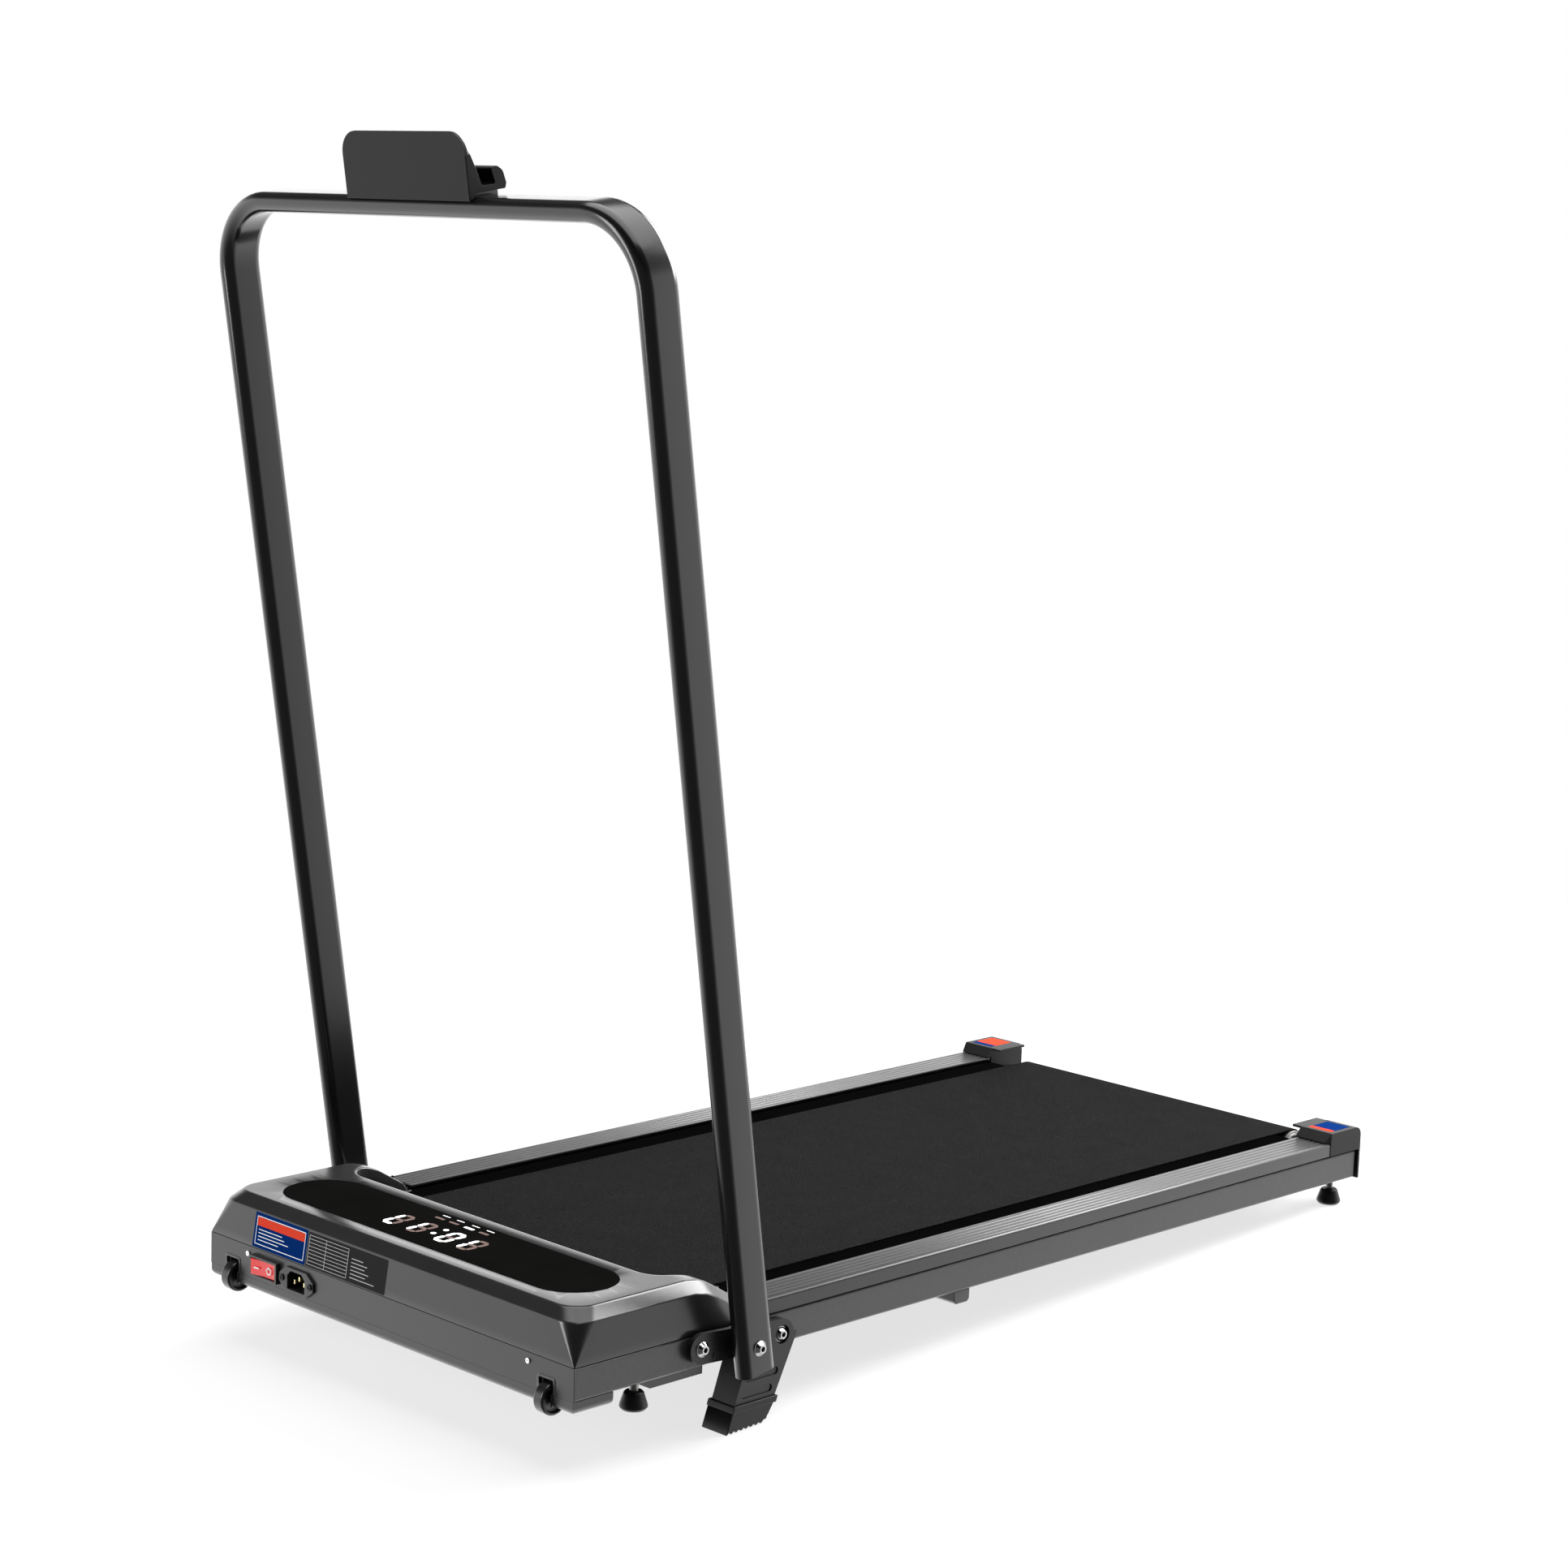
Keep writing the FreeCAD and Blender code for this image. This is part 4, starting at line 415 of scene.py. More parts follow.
def mixed(tree, mask, first, second):
    """Colour between two, by a mask; each is a colour or a socket."""
    node = tree.nodes.new("ShaderNodeMix")
    node.data_type = "RGBA"
    for socket, value in ((node.inputs["Factor"], mask), (node.inputs[6], first),
                          (node.inputs[7], second)):
        feed(tree, socket, value)
    return node.outputs[2]


WORN, SETTLED = grey(0.30), grey(0.30, 0.04)
CREST_GAIN, CREST_LEVEL = 4.2, -2.65


def finish(name, colour, rough, scale=900.0, depth=0.00003, patch=0.12, dust=0.15, wear=0.0,
           metal=0.0, weave=0.0, speck=0.0, strength=0.35, spread=0.1, shine=0.5, **constants):
    """A material: base colour varied in patches, dust and worn edges over it, roughness that
    varies with the patches, and a bump from grain or weave.  Constants go on the shader."""
    material = bpy.data.materials.new(name)
    material.use_nodes = True
    tree = material.node_tree
    shader = tree.nodes["Principled BSDF"]
    place = place_in(tree)
    grain = use(tree, GRAIN, place, Scale=scale)
    lighter = tuple(min(1.0, c * (1 + patch) + patch * 0.01) for c in colour[:3]) + (1.0,)
    darker = tuple(c * (1 - patch) for c in colour[:3]) + (1.0,)
    shade = mixed(tree, grain.outputs["Patch"], darker, lighter)
    height = grain.outputs["Height"]
    if weave:
        height = use(tree, WEAVE, place, Pitch=weave).outputs["Height"]
        crest = add_math(tree, "MULTIPLY_ADD", height, CREST_GAIN, CREST_LEVEL, clamp=True)
        shade = mixed(tree, crest, shade, grey(speck))
    if wear:
        worn = use(tree, WEAR, place, Amount=wear)
        shade = mixed(tree, worn.outputs["Mask"], shade, WORN)
    if dust:
        film = use(tree, DUST, place, Amount=dust)
        shade = mixed(tree, film.outputs["Mask"], shade, SETTLED)
    tree.links.new(shade, shader.inputs["Base Color"])
    uneven = add_math(tree, "MULTIPLY_ADD", grain.outputs["Patch"], spread, rough - spread / 2)
    tree.links.new(uneven, shader.inputs["Roughness"])
    bump = tree.nodes.new("ShaderNodeBump")
    bump.inputs["Strength"].default_value = strength
    bump.inputs["Distance"].default_value = depth
    tree.links.new(height, bump.inputs["Height"])
    tree.links.new(bump.outputs["Normal"], shader.inputs["Normal"])
    shader.inputs["Metallic"].default_value = metal
    shader.inputs["Specular IOR Level"].default_value = shine
    for label, value in constants.items():
        shader.inputs[label.replace("_", " ")].default_value = value
    return material


def split_by_place(material, reach, inner):
    """Give a material another colour where it is nearer the middle than reach: |x| < reach."""
    tree = material.node_tree
    base = tree.nodes["Principled BSDF"].inputs["Base Color"]
    place = split_axes(tree, place_in(tree))
    near = add_math(tree, "LESS_THAN", add_math(tree, "ABSOLUTE", place["X"]), reach)
    feed(tree, base, mixed(tree, near, base.links[0].from_socket, inner))


FRAME_PAINT = finish("powder coat", grey(0.019), 0.34, scale=1500.0, depth=0.00005, wear=0.15,
                     dust=0.04)
RAIL_PAINT = finish("gloss tube paint", grey(0.0055), 0.20, scale=1300.0, depth=0.00001, dust=0.01,
                    wear=0.04, spread=0.06)
LEG_PAINT = finish("leg powder coat", grey(0.009), 0.34, scale=1500.0, depth=0.00004, wear=0.12,
                   dust=0.02, shine=0.32)
HOOD_GREY = finish("hood plastic", grey(0.013), 0.25, scale=1700.0, depth=0.00004, dust=0.03,
                   patch=0.06)
SMOKED = finish("smoked window", grey(0.0030, 0.05), 0.35, scale=300.0, depth=0.000005, dust=0.002,
                spread=0.04, shine=0.0)
SKIRT_GREY = finish("skirt plastic", grey(0.020), 0.36, scale=1100.0, depth=0.00001, dust=0.05,
                    patch=0.08)
TRIM_BLACK = finish("black trim plastic", grey(0.009), 0.34, scale=1300.0, depth=0.00003, dust=0.02,
                    wear=0.06)
HOLDER_BLACK = finish("holder plastic", grey(0.0035), 0.36, scale=1500.0, depth=0.00004, dust=0.01,
                      patch=0.05, shine=0.14)
CAP_GREY = finish("cap plastic", grey(0.007), 0.42, scale=1200.0, depth=0.00004, dust=0.02,
                  shine=0.18)
BELT_RUBBER = finish("belt weave", grey(0.0012), 0.8, scale=600.0, depth=0.0005, weave=0.0028,
                     speck=0.026, dust=0.01, strength=1.0, patch=0.15, shine=0.02)
BOARD_BLACK = finish("black laminate", grey(0.0012), 0.7, scale=500.0, depth=0.00001, dust=0.0,
                     patch=0.05, shine=0.0)
RUBBER = finish("moulded rubber", grey(0.005), 0.40, scale=1100.0, depth=0.00004, dust=0.02,
                shine=0.25)
TYRE = finish("tyre rubber", grey(0.006), 0.28, scale=900.0, depth=0.00002, dust=0.01)
CHROME = finish("polished chrome", grey(0.40), 0.12, scale=400.0, depth=0.000004, metal=1.0,
                dust=0.0, patch=0.03, spread=0.05)
ZINC = finish("zinc plated steel", grey(0.22, 0.02), 0.38, scale=700.0, depth=0.00001, metal=1.0,
              dust=0.03)
BLACK_STEEL = finish("blackened steel", grey(0.03), 0.4, scale=700.0, depth=0.00002, metal=0.6,
                     dust=0.02)
IRON = finish("cast iron", grey(0.12), 0.6, scale=500.0, depth=0.0001, metal=0.7)
ALLOY = finish("milled alloy", grey(0.62), 0.3, scale=900.0, depth=0.00001, metal=1.0)
BRASS = finish("plated brass", (0.78, 0.66, 0.38, 1.0), 0.25, metal=1.0, dust=0.0)
BOARD_GREEN = finish("circuit board", (0.01, 0.06, 0.025, 1.0), 0.4, scale=200.0)
ROCKER_RED = finish("red rocker", (0.80, 0.018, 0.020, 1.0), 0.16, scale=300.0, depth=0.000005,
                    dust=0.0, patch=0.1, Subsurface_Weight=0.1, Coat_Weight=0.5,
                    Coat_Roughness=0.08)
SCREW_STEEL = finish("screw steel", grey(0.70), 0.25, scale=400.0, depth=0.000004, metal=0.9,
                     dust=0.0)
INLET_REACH = 0.17
split_by_place(SCREW_STEEL, INLET_REACH, grey(0.02))
WHITE_INK = finish("white print", grey(0.80), 0.5, dust=0.0, patch=0.03)
GREY_INK = finish("grey print", grey(0.42), 0.5, dust=0.0, patch=0.05)
LABEL_BLUE = finish("blue label", (0.002, 0.022, 0.125, 1.0), 0.45, dust=0.01, patch=0.04,
                    shine=0.0)
LABEL_ORANGE = finish("orange label", (0.62, 0.055, 0.028, 1.0), 0.45, dust=0.01, patch=0.04,
                      shine=0.0)
LABEL_BLACK = finish("black label", grey(0.003), 0.5, dust=0.01, patch=0.04, shine=0.08)
LIT = finish("lit segment", grey(1.0), 0.5, dust=0.0, patch=0.05, Emission_Color=grey(1.0),
             Emission_Strength=1.2)
UNLIT = finish("unlit segment", (0.120, 0.075, 0.064, 1.0), 0.5, dust=0.0, patch=0.04, shine=0.1)


# ---------------- hood

HOOD_LOW, HOOD_SHOULDER, HOOD_TOP = 59.8, 92.8, 102.8
HOOD_RISE, WALL_RISE = HOOD_TOP - HOOD_LOW, HOOD_SHOULDER - HOOD_LOW
CROWN = HOOD_TOP - HOOD_SHOULDER
LIP_R, REAR_RIM = 3.0, 17.4
HOOD_HALF, HOOD_REAR = 250.0, deck_box("display_window")[1][1] + REAR_RIM - LIP_R
SHOULDER_IN, CREST_IN, RIM_IN = 6.0, 16.5, 22.0
TAIL_BEND, TAIL_BEND_R, TAIL_SLOPE = 138.0, 62.0, math.radians(31.0)
TAIL_IN, TAIL_END, TAIL_CORNER_R = 213.8, 205.0, 26.0
OVER_BELT, OVER_BOARD = 73.2, 70.2
FRONT_SHARE, LEAST_NOSE_R, MORE_NOSE_R = 0.83, 1.0, 21.0
HOOD_WALL = 2.4
WINDOW_HALF, WINDOW_R = 208.0, 40.0
WINDOW_Y = 69.6


def hood_top(y):
    """Height of the hood's top: level, then an arc that turns down, then a straight slope."""
    y = np.asarray(y, float)
    arc_end = TAIL_BEND + TAIL_BEND_R * math.sin(TAIL_SLOPE)
    turned = np.clip(y, TAIL_BEND, arc_end) - TAIL_BEND
    on_arc = HOOD_TOP - TAIL_BEND_R + np.sqrt(TAIL_BEND_R ** 2 - turned ** 2)
    return on_arc - np.maximum(y - arc_end, 0) * math.tan(TAIL_SLOPE)


def hood_profile():
    """Inset and drop of the hood's wall from its foot over the shoulder onto the top."""
    corners = [(0, -HOOD_RISE), (SHOULDER_IN, -CROWN), (CREST_IN, 0), (RIM_IN, 0)]
    curve = rounded(corners, [0, 4.0, 5.0, 0], 6, closed=False)
    wall = np.linspace(0, 1, 5)[1:-1, None] * (curve[1] - curve[0]) + curve[0]
    return np.concatenate([curve[:1], wall, curve[1:]])


def hood_outline(inset, lip, end, share):
    """Plan of the hood at one level.

    The corners run from the middle of the rear wall round the right tail and the front."""
    rise = min(1.0, share)
    side, front = HOOD_HALF - inset, inset * FRONT_SHARE
    nose = LEAST_NOSE_R + MORE_NOSE_R * rise
    half = [(0, HOOD_REAR - lip), (TAIL_IN + lip, HOOD_REAR - lip),
            (TAIL_IN + lip, TAIL_END - end), (side, TAIL_END - end), (side, front)]
    radii = [0, TAIL_CORNER_R + lip, 3.0, 5.0 + 4 * rise, nose]
    corners = half + [(-x, y) for x, y in half[:0:-1]]
    return dense(corners, radii + radii[:0:-1])


def dense(corners, radii):
    """A rounded outline with its straight stretches divided, by the same counts each time."""
    corners = np.asarray(corners, float)
    arcs = [arc_corner(corners[i - 1], corners[i], corners[(i + 1) % len(corners)],
                       radii[i], 10) for i in range(len(corners))]
    parts = []
    for i, arc in enumerate(arcs):
        parts.append(arc)
        start, stop = arc[-1], arcs[(i + 1) % len(arcs)][0]
        parts.append(start + np.linspace(0, 1, 14)[1:-1, None] * (stop - start))
    return np.concatenate(parts)


def hood_foot(outline):
    """Height of the hood's foot: on the rail outside, above the belt and board inside."""
    x, y = np.abs(outline[:, 0]), outline[:, 1]
    inner = (y > HOOD_REAR - 4) & (x < TAIL_IN + 14)
    return np.where(inner, np.where(x < TAIL_IN - 2, OVER_BELT, OVER_BOARD), HOOD_LOW)


def hood_shell():
    """The hood's skin: rings of its plan from the foot up, then the top filled between the
    last ring and the window's opening.  Below the shoulder a ring stands at its share of the
    wall; above it the ring lies its drop below the hood's top."""
    rings = []
    base = None
    for inset, level in hood_profile():
        drop = -level
        share = (HOOD_RISE - drop) / WALL_RISE
        lip = LIP_R - math.sqrt(max(0.0, LIP_R ** 2 - max(0.0, LIP_R - drop) ** 2))
        lip += max(0.0, inset - CREST_IN) * 0.6
        flat = hood_outline(inset, lip, lip * 1.5 + 0.35 * inset, share)
        if base is None:
            base = hood_foot(flat)
        crest = hood_top(flat[:, 1])
        if drop > CROWN:
            height = base + (crest - CROWN - base) * max(share, 0.0)
        else:
            height = np.maximum(crest - drop, base + 1 - drop / HOOD_RISE)
        rings.append(np.column_stack([flat, height]))
    return [skin(rings, caps=False), hood_lid(rings[-1])]


def stadium(half, radius, middle, count=24):
    """A closed outline of two half circles joined by straight sides."""
    turn = np.linspace(-math.pi / 2, math.pi / 2, count)
    ends = np.column_stack([half - radius + radius * np.cos(turn), radius * np.sin(turn)])
    return np.concatenate([ends, -ends]) + np.array([0, middle])


def hood_lid(rim):
    """The hood's top as triangles between its rim and the window's opening, with a grid of
    points over the tails so that they curve."""
    hole = stadium(WINDOW_HALF + 0.4, WINDOW_R + 0.4, WINDOW_Y)
    points, edges, base = [], [], 0
    for loop in (rim[:, :2], hole):
        loop = loop[np.linalg.norm(loop - np.roll(loop, 1, 0), axis=1) > 1e-4]
        points += loop.tolist()
        edges += [(base + k, base + (k + 1) % len(loop)) for k in range(len(loop))]
        base += len(loop)
    for x in np.linspace(TAIL_IN + 7, HOOD_HALF - 26, 3):
        for y in np.arange(TAIL_BEND, TAIL_END - 14, 5.0):
            points += [(x, y), (-x, y)]
    made = delaunay_2d_cdt([Vector(p) for p in points], edges, [], 1, 1e-5)
    flat = np.array([tuple(v) for v in made[0]])
    faces = []
    for face in made[2]:
        x, y = flat[list(face)].mean(0)
        over = max(abs(x) - (WINDOW_HALF - WINDOW_R), 0)
        if math.hypot(over, y - WINDOW_Y) > WINDOW_R + 0.3:
            faces.append(list(face))
    return np.column_stack([flat, hood_top(flat[:, 1])]), faces


def make_hood():
    """The moulded hood, a shell of even thickness, and its smoked window."""
    hood = piece("motor_hood_skin", hood_shell(), HOOD_GREY, "frame", ["motor_hood"],
                 weld=0.02)
    wall = hood.modifiers.new("wall", "SOLIDIFY")
    wall.thickness = HOOD_WALL * MM
    wall.offset = -1
    wall.use_even_offset = False
    hood.modifiers.move(0, 1)
    glass = slab(stadium(WINDOW_HALF, WINDOW_R, WINDOW_Y, 40), HOOD_TOP - 3.0,
                 HOOD_TOP + 0.1, 0.5, "z")
    piece("smoked_window", glass, SMOKED, "frame", ["display_window"])


# ---------------- display

BAR_WIDE, DIGIT_WIDE, DIGIT_TALL = 4.2, 12.6, 26.4
DIGIT_Y, BARS_Y, TICKS_Y = 64.4, 94.9, 103.2
GLASS_TOP = HOOD_TOP + 0.12
DIGITS = (("bc", 43.3), ("abcdef", 12.8), ("bc", -25.6), ("abc", -58.0))
COLON_X, COLON_YS, COLON_WIDE = -6.6, (61.5, 76.0), 5.2
INDICATOR_XS, INDICATOR_LIT = (22.4, 2.5, -18.4, -37.8), 1


def segment(x, y, upright, long):
    """One bar of a seven-segment digit: a long hexagon."""
    a, b = long / 2, BAR_WIDE / 2
    bar = np.array([(-a, 0), (-a + b, -b), (a - b, -b), (a, 0), (a - b, b), (-a + b, b)])
    if upright:
        bar = bar[:, ::-1]
    return bar + np.array([x, y])


def on_glass(outline, x, y):
    """A flat shape put on the glass with its middle at (x, y), read from the rear."""
    flat = np.column_stack([x - outline[:, 0], y - outline[:, 1]])
    return slab(flat, GLASS_TOP - 0.3, GLASS_TOP + 0.12, 0.05, "z", 1)


def bar_outline(long, tall, corner=0.3):
    """A small rounded rectangle about its own middle."""
    return oblong((-long / 2, -tall / 2), (long / 2, tall / 2), corner)


def digit(middle_x, lit):
    """The bars of one digit: those whose letter is in lit, and the rest."""
    w, t = DIGIT_WIDE / 2, DIGIT_TALL / 4
    flat, tall = DIGIT_WIDE - 0.6, DIGIT_TALL / 2 - 0.6
    bars = {"a": (0, 2 * t, False, flat), "b": (w, t, True, tall), "c": (w, -t, True, tall),
            "d": (0, -2 * t, False, flat), "e": (-w, -t, True, tall),
            "f": (-w, t, True, tall), "g": (0, 0, False, flat)}
    on, off = [], []
    for letter, where in bars.items():
        bar = on_glass(segment(*where), middle_x, DIGIT_Y)
        (on if letter in lit else off).append(bar)
    return on, off


def make_display():
    """A clock readout of four digits with a colon, and four indicator bars."""
    on, off = [], []
    for lit, x in DIGITS:
        some, rest = digit(x, lit)
        on += some
        off += rest
    for y in COLON_YS:
        on.append(on_glass(bar_outline(COLON_WIDE, COLON_WIDE, 2.55), COLON_X, y))
    ticks = []
    for number, x in enumerate(INDICATOR_XS):
        bar = on_glass(bar_outline(12.0, 3.4), x, BARS_Y)
        (on if number == INDICATOR_LIT else off).append(bar)
        ticks.append(on_glass(bar_outline(10.0, 1.5), x - 0.5, TICKS_Y))
    piece("lit_segments", on, LIT, "frame")
    piece("unlit_segments", off, UNLIT, "frame")
    piece("indicator_ticks", ticks, WHITE_INK, "frame")


# ---------------- steel, skirts, belt

def make_rails():
    """Two rectangular tubes with rounded corners, open at the rear."""
    low, high = deck_box("side_rail_right")
    wall, outer_r, inner_r = 1.8, 2.6, 0.9
    outer = oblong(low[[0, 2]], high[[0, 2]], outer_r, 5)
    inner = oblong(low[[0, 2]] + wall, high[[0, 2]] - wall, inner_r, 5)
    on_both_sides("rail_tube", sleeve(outer, inner, low[1], high[1]), FRAME_PAINT, "side_rail")


def make_skirts():
    """Side skirts: a ribbed top, a rounded outer shoulder and a plain side, drawn as one
    section and carried along the deck."""
    low, high = deck_box("side_skirt_right")
    wide, top = high[0] - low[0], high[2]
    groove, deep, pitch, first, ramp = 2.2, 0.7, 6.4, 5.6, 0.8
    thick, shoulder_r, side_wall, side_foot, hook_in, hook_foot = 3.6, 2.6, 4.0, 60.6, 25.9, 59.3
    section = [(0, top - thick), (0, top)]
    radii = [0, 0.9]
    for rib in range(5):
        start = first + rib * pitch
        section += [(start, top), (start + ramp, top - deep),
                    (start + groove - ramp, top - deep), (start + groove, top)]
        radii += [0.4, 0.3, 0.3, 0.4]
    section += [(wide, top), (wide, side_foot), (wide - side_wall, side_foot),
                (wide - side_wall, hook_foot), (wide - hook_in, hook_foot),
                (wide - hook_in, top - thick)]
    radii += [shoulder_r, 0.5, 0, 0, 0, 0]
    outline = rounded(section, radii, 3) + np.array([low[0], 0])
    on_both_sides("ribbed_skirt", slab(outline, low[1], high[1], 0.0, "y", 1), SKIRT_GREY,
                  "side_skirt", weld=0.001)


def make_belt():
    """The belt: a thin band with rounded edges, carried round both rollers.

    The path is two straight runs and two half circles of the roller's radius."""
    low, high = deck_box("walking_belt")
    thick = 1.6
    outer = (high[2] - low[2]) / 2
    radius = outer - thick / 2
    level = (high[2] + low[2]) / 2
    front, rear = low[1] + outer, high[1] - outer
    turn = np.linspace(-math.pi / 2, math.pi / 2, 25)
    bend = np.column_stack([np.cos(turn), np.sin(turn)])
    along = np.linspace(0, 1, 60)[1:-1, None]
    top = np.array([rear, level + radius]) + along * np.array([front - rear, 0])
    low_run = np.array([front, level - radius]) + along * np.array([rear - front, 0])
    path = np.concatenate([np.array([rear, level]) + radius * bend, top,
                           np.array([front, level]) - radius * bend, low_run])
    out = np.concatenate([bend, np.tile([0, 1.0], (len(top), 1)), -bend,
                          np.tile([0, -1.0], (len(low_run), 1))])
    section = oblong((-high[0], -thick / 2), (high[0], thick / 2), 0.7)[:, ::-1]
    band = skin(swept(path, out, section, "x"), along=True)
    piece("woven_belt", band, BELT_RUBBER, "frame", ["walking_belt"])


# ---------------- handrail

PIVOT = to_deck(joint_place("handrail_fold"))
RAIL_LEAN = math.radians(9.2)
TUBE_X, TUBE_HALF, TUBE_FLAT, TUBE_WALL = 271.8, 9.0, 21.0, 1.5
REACH, BELOW, BEND_R = 961.0, 24.0, 64.0


def on_rail(points):
    """Points of the upright handrail (across, fore-aft, up from the pivot) leaned forward."""
    points = np.asarray(points, float)
    c, s = math.cos(RAIL_LEAN), math.sin(RAIL_LEAN)
    y = PIVOT[1] + points[..., 1] * c - points[..., 2] * s
    z = PIVOT[2] + points[..., 1] * s + points[..., 2] * c
    return np.stack([points[..., 0], y, z], -1)


def rail_path():
    """The tube's middle line: up one leg, round a bend, across, and down; with its normals."""
    turn = np.linspace(0, math.pi / 2, 25)
    knee_z, knee_x = REACH - BEND_R, TUBE_X - BEND_R
    rise = np.linspace(-BELOW, knee_z, 12)[:-1]
    leg = np.column_stack([np.full(len(rise), TUBE_X), rise])
    bend = np.column_stack([knee_x + BEND_R * np.cos(turn), knee_z + BEND_R * np.sin(turn)])
    bar = np.column_stack([np.linspace(knee_x, 0, 8)[1:], np.full(7, REACH)])
    half = np.concatenate([leg, bend, bar])
    out = np.concatenate([np.tile([1.0, 0], (len(leg), 1)),
                          np.column_stack([np.cos(turn), np.sin(turn)]),
                          np.tile([0, 1.0], (len(bar), 1))])
    flip = np.array([-1, 1])
    return (np.concatenate([half, half[-2::-1] * flip]),
            np.concatenate([out, out[-2::-1] * flip]))


def oval(radius, flat, count=14):
    """The tube's section: half circles at its front and rear, flats at its sides."""
    turn = np.linspace(0, math.pi, count)
    rear = np.column_stack([radius * np.cos(turn), flat / 2 + radius * np.sin(turn)])
    return np.concatenate([rear, -rear])


def make_handrail():
    """The U tube: its oval carried along the path, outside and inside, joined at the feet."""
    path, out = rail_path()
    outside = swept(path, out, oval(TUBE_HALF, TUBE_FLAT), "y")
    inside = swept(path, out, oval(TUBE_HALF - TUBE_WALL, TUBE_FLAT), "y")
    rings = np.concatenate([outside, inside[::-1]])
    piece("handrail_skin", skin(on_rail(rings), along=True), RAIL_PAINT, "handrail",
          ["handrail_tube"])


def make_holder():
    """The phone holder: its side view carried across, the top clipped by the round corners
    of the back plate, whose height is h - r + sqrt(r^2 - (x - x0)^2) past x0."""
    top = REACH + TUBE_HALF
    half, tall, corner, edge = 79.5, 54.0, 19.0, 0.5
    base, floor, front = top + 3.6, top + 8.6, -20.0
    inner, slot_wide = front + 14.8, 14.5
    hook = inner + slot_wide
    view = [(front, top - 2.4), (front + 3.0, top - 2.4), (front + 8.0, base),
            (hook + 10.0, base), (hook + 11.6, floor - 0.5), (hook + 9.0, floor + 10.0),
            (hook + 3.0, floor + 14.5), (hook - 4.0, floor + 13.0), (hook - 0.5, floor),
            (inner, floor), (inner - 4.0, floor + 13.0), (inner - 9.0, floor + 26.0),
            (front + 3.0, top + tall - 8.0), (front + 2.6, top + tall), (front, top + tall)]
    radii = [0.8, 2, 4, 1.5, 2, 7, 4.5, 2, 1.6, 1.6, 30, 14, 6, 0.8, 0.6]
    outline = rounded(view, radii, 5)
    turn = np.linspace(math.pi / 2, 0, 12)
    across = half - corner + corner * np.cos(turn)
    crest = top + tall - corner + corner * np.sin(turn)
    stations = [(-x, h) for x, h in zip(across[::-1], crest[::-1])]
    stations += list(zip(across, crest))
    rings = []
    for x, height in stations:
        rings.append(ring_at(np.column_stack([outline[:, 0], np.minimum(outline[:, 1], height)]),
                             x, "x"))
    rims = [ring_at(inward(ring[:, 1:], edge), ring[0, 0] + way * edge, "x")
            for ring, way in ((rings[0], -1), (rings[-1], 1))]
    piece("phone_holder_body", skin(on_rail([rims[0], *rings, rims[1]])), HOLDER_BLACK,
          "handrail", ["phone_holder"], weld=0.01)


# ---------------- wheels

def wheel_size(word):
    """A transport wheel's middle on the deck, its radius and half its width."""
    low, high = deck_box("transport_wheel_" + word)
    middle = to_deck(joint_place("wheel_%s_spin" % word))
    return middle, (high[2] - low[2]) / 2, (high[0] - low[0]) / 2


def make_wheels():
    """Transport wheels: a tyre with rounded lips over a dished side, turned about its axle."""
    for word in SIDES:
        middle, r, w = wheel_size(word)
        half = [(w - 2.2, 3.1), (w - 2.2, 5.6), (w - 2.6, 6.2), (w - 2.4, r - 3.8),
                (w - 0.9, r - 3.1), (w - 0.1, r - 2.5), (w, r - 1.6), (w - 0.35, r - 0.7),
                (w - 1.2, r - 0.1), (w - 2.2, r)]
        tyre = lathe([(-x, y) for x, y in half] + half[::-1], middle, "x", 56)
        piece("wheel_tyre_" + word, tyre, TYRE, "wheel_" + word, ["transport_wheel_" + word])


def side_view(name):
    """The corners of a CAD node's convex outline seen from the side, as (y, z)."""
    flat = to_deck(node_points(name))[:, 1:]
    hull = flat[convex_hull_2d([Vector(p) for p in flat])]
    hull = hull[np.linalg.norm(np.roll(hull, -1, 0) - hull, axis=1) > 0.01]
    ahead = np.roll(hull, -1, 0) - hull
    ahead /= np.linalg.norm(ahead, axis=1, keepdims=True)
    behind = np.roll(ahead, 1, 0)
    bend = np.abs(ahead[:, 0] * behind[:, 1] - ahead[:, 1] * behind[:, 0])
    return hull[bend > 0.05]


def make_boots():
    """Rubber boots: the side view with a scalloped sole, and a raised lip round the top.

    The sole's scallops are depth * sin(pi * count * t) squared along the bottom edge."""
    scallops, deep, lip_out, lip_tall = 7, 1.5, 0.7, 4.5
    for word in SIDES:
        low, high = deck_box("leg_boot_" + word)
        view = side_view("leg_boot_" + word)
        toe = int(np.argmin(view[:, 1]))
        view = np.roll(view, -toe, 0)
        if view[1, 1] > view[-1, 1]:
            view = np.concatenate([view[:1], view[:0:-1]])
        t = np.linspace(0.04, 0.96, 70)[:, None]
        run = view[1] - view[0]
        across = np.array([-run[1], run[0]]) / np.linalg.norm(run)
        across = across * np.sign(across[1])
        sole = view[0] + t * run + deep * np.sin(math.pi * scallops * t) ** 2 * across
        outline = np.concatenate([view[:1], sole, view[1:]])
        parts = [slab(outline, low[0], high[0], 0.9, "x")]
        top = view[np.argsort(-view[:, 1])[:2]]
        top = top[np.argsort(top[:, 0])]
        lean = top[0] - view[0]
        down = -lip_tall * lean / lean[1]
        lip = inward(np.array([top[0] + down, top[1] + down, top[1], top[0]]), -lip_out)
        parts.append(slab(rounded(lip, 0.9, 3), low[0] - lip_out, high[0] + lip_out, 0.6, "x"))
        piece("boot_" + word, parts, RUBBER, "frame", ["leg_boot_" + word])


# ---------------- labels and marks

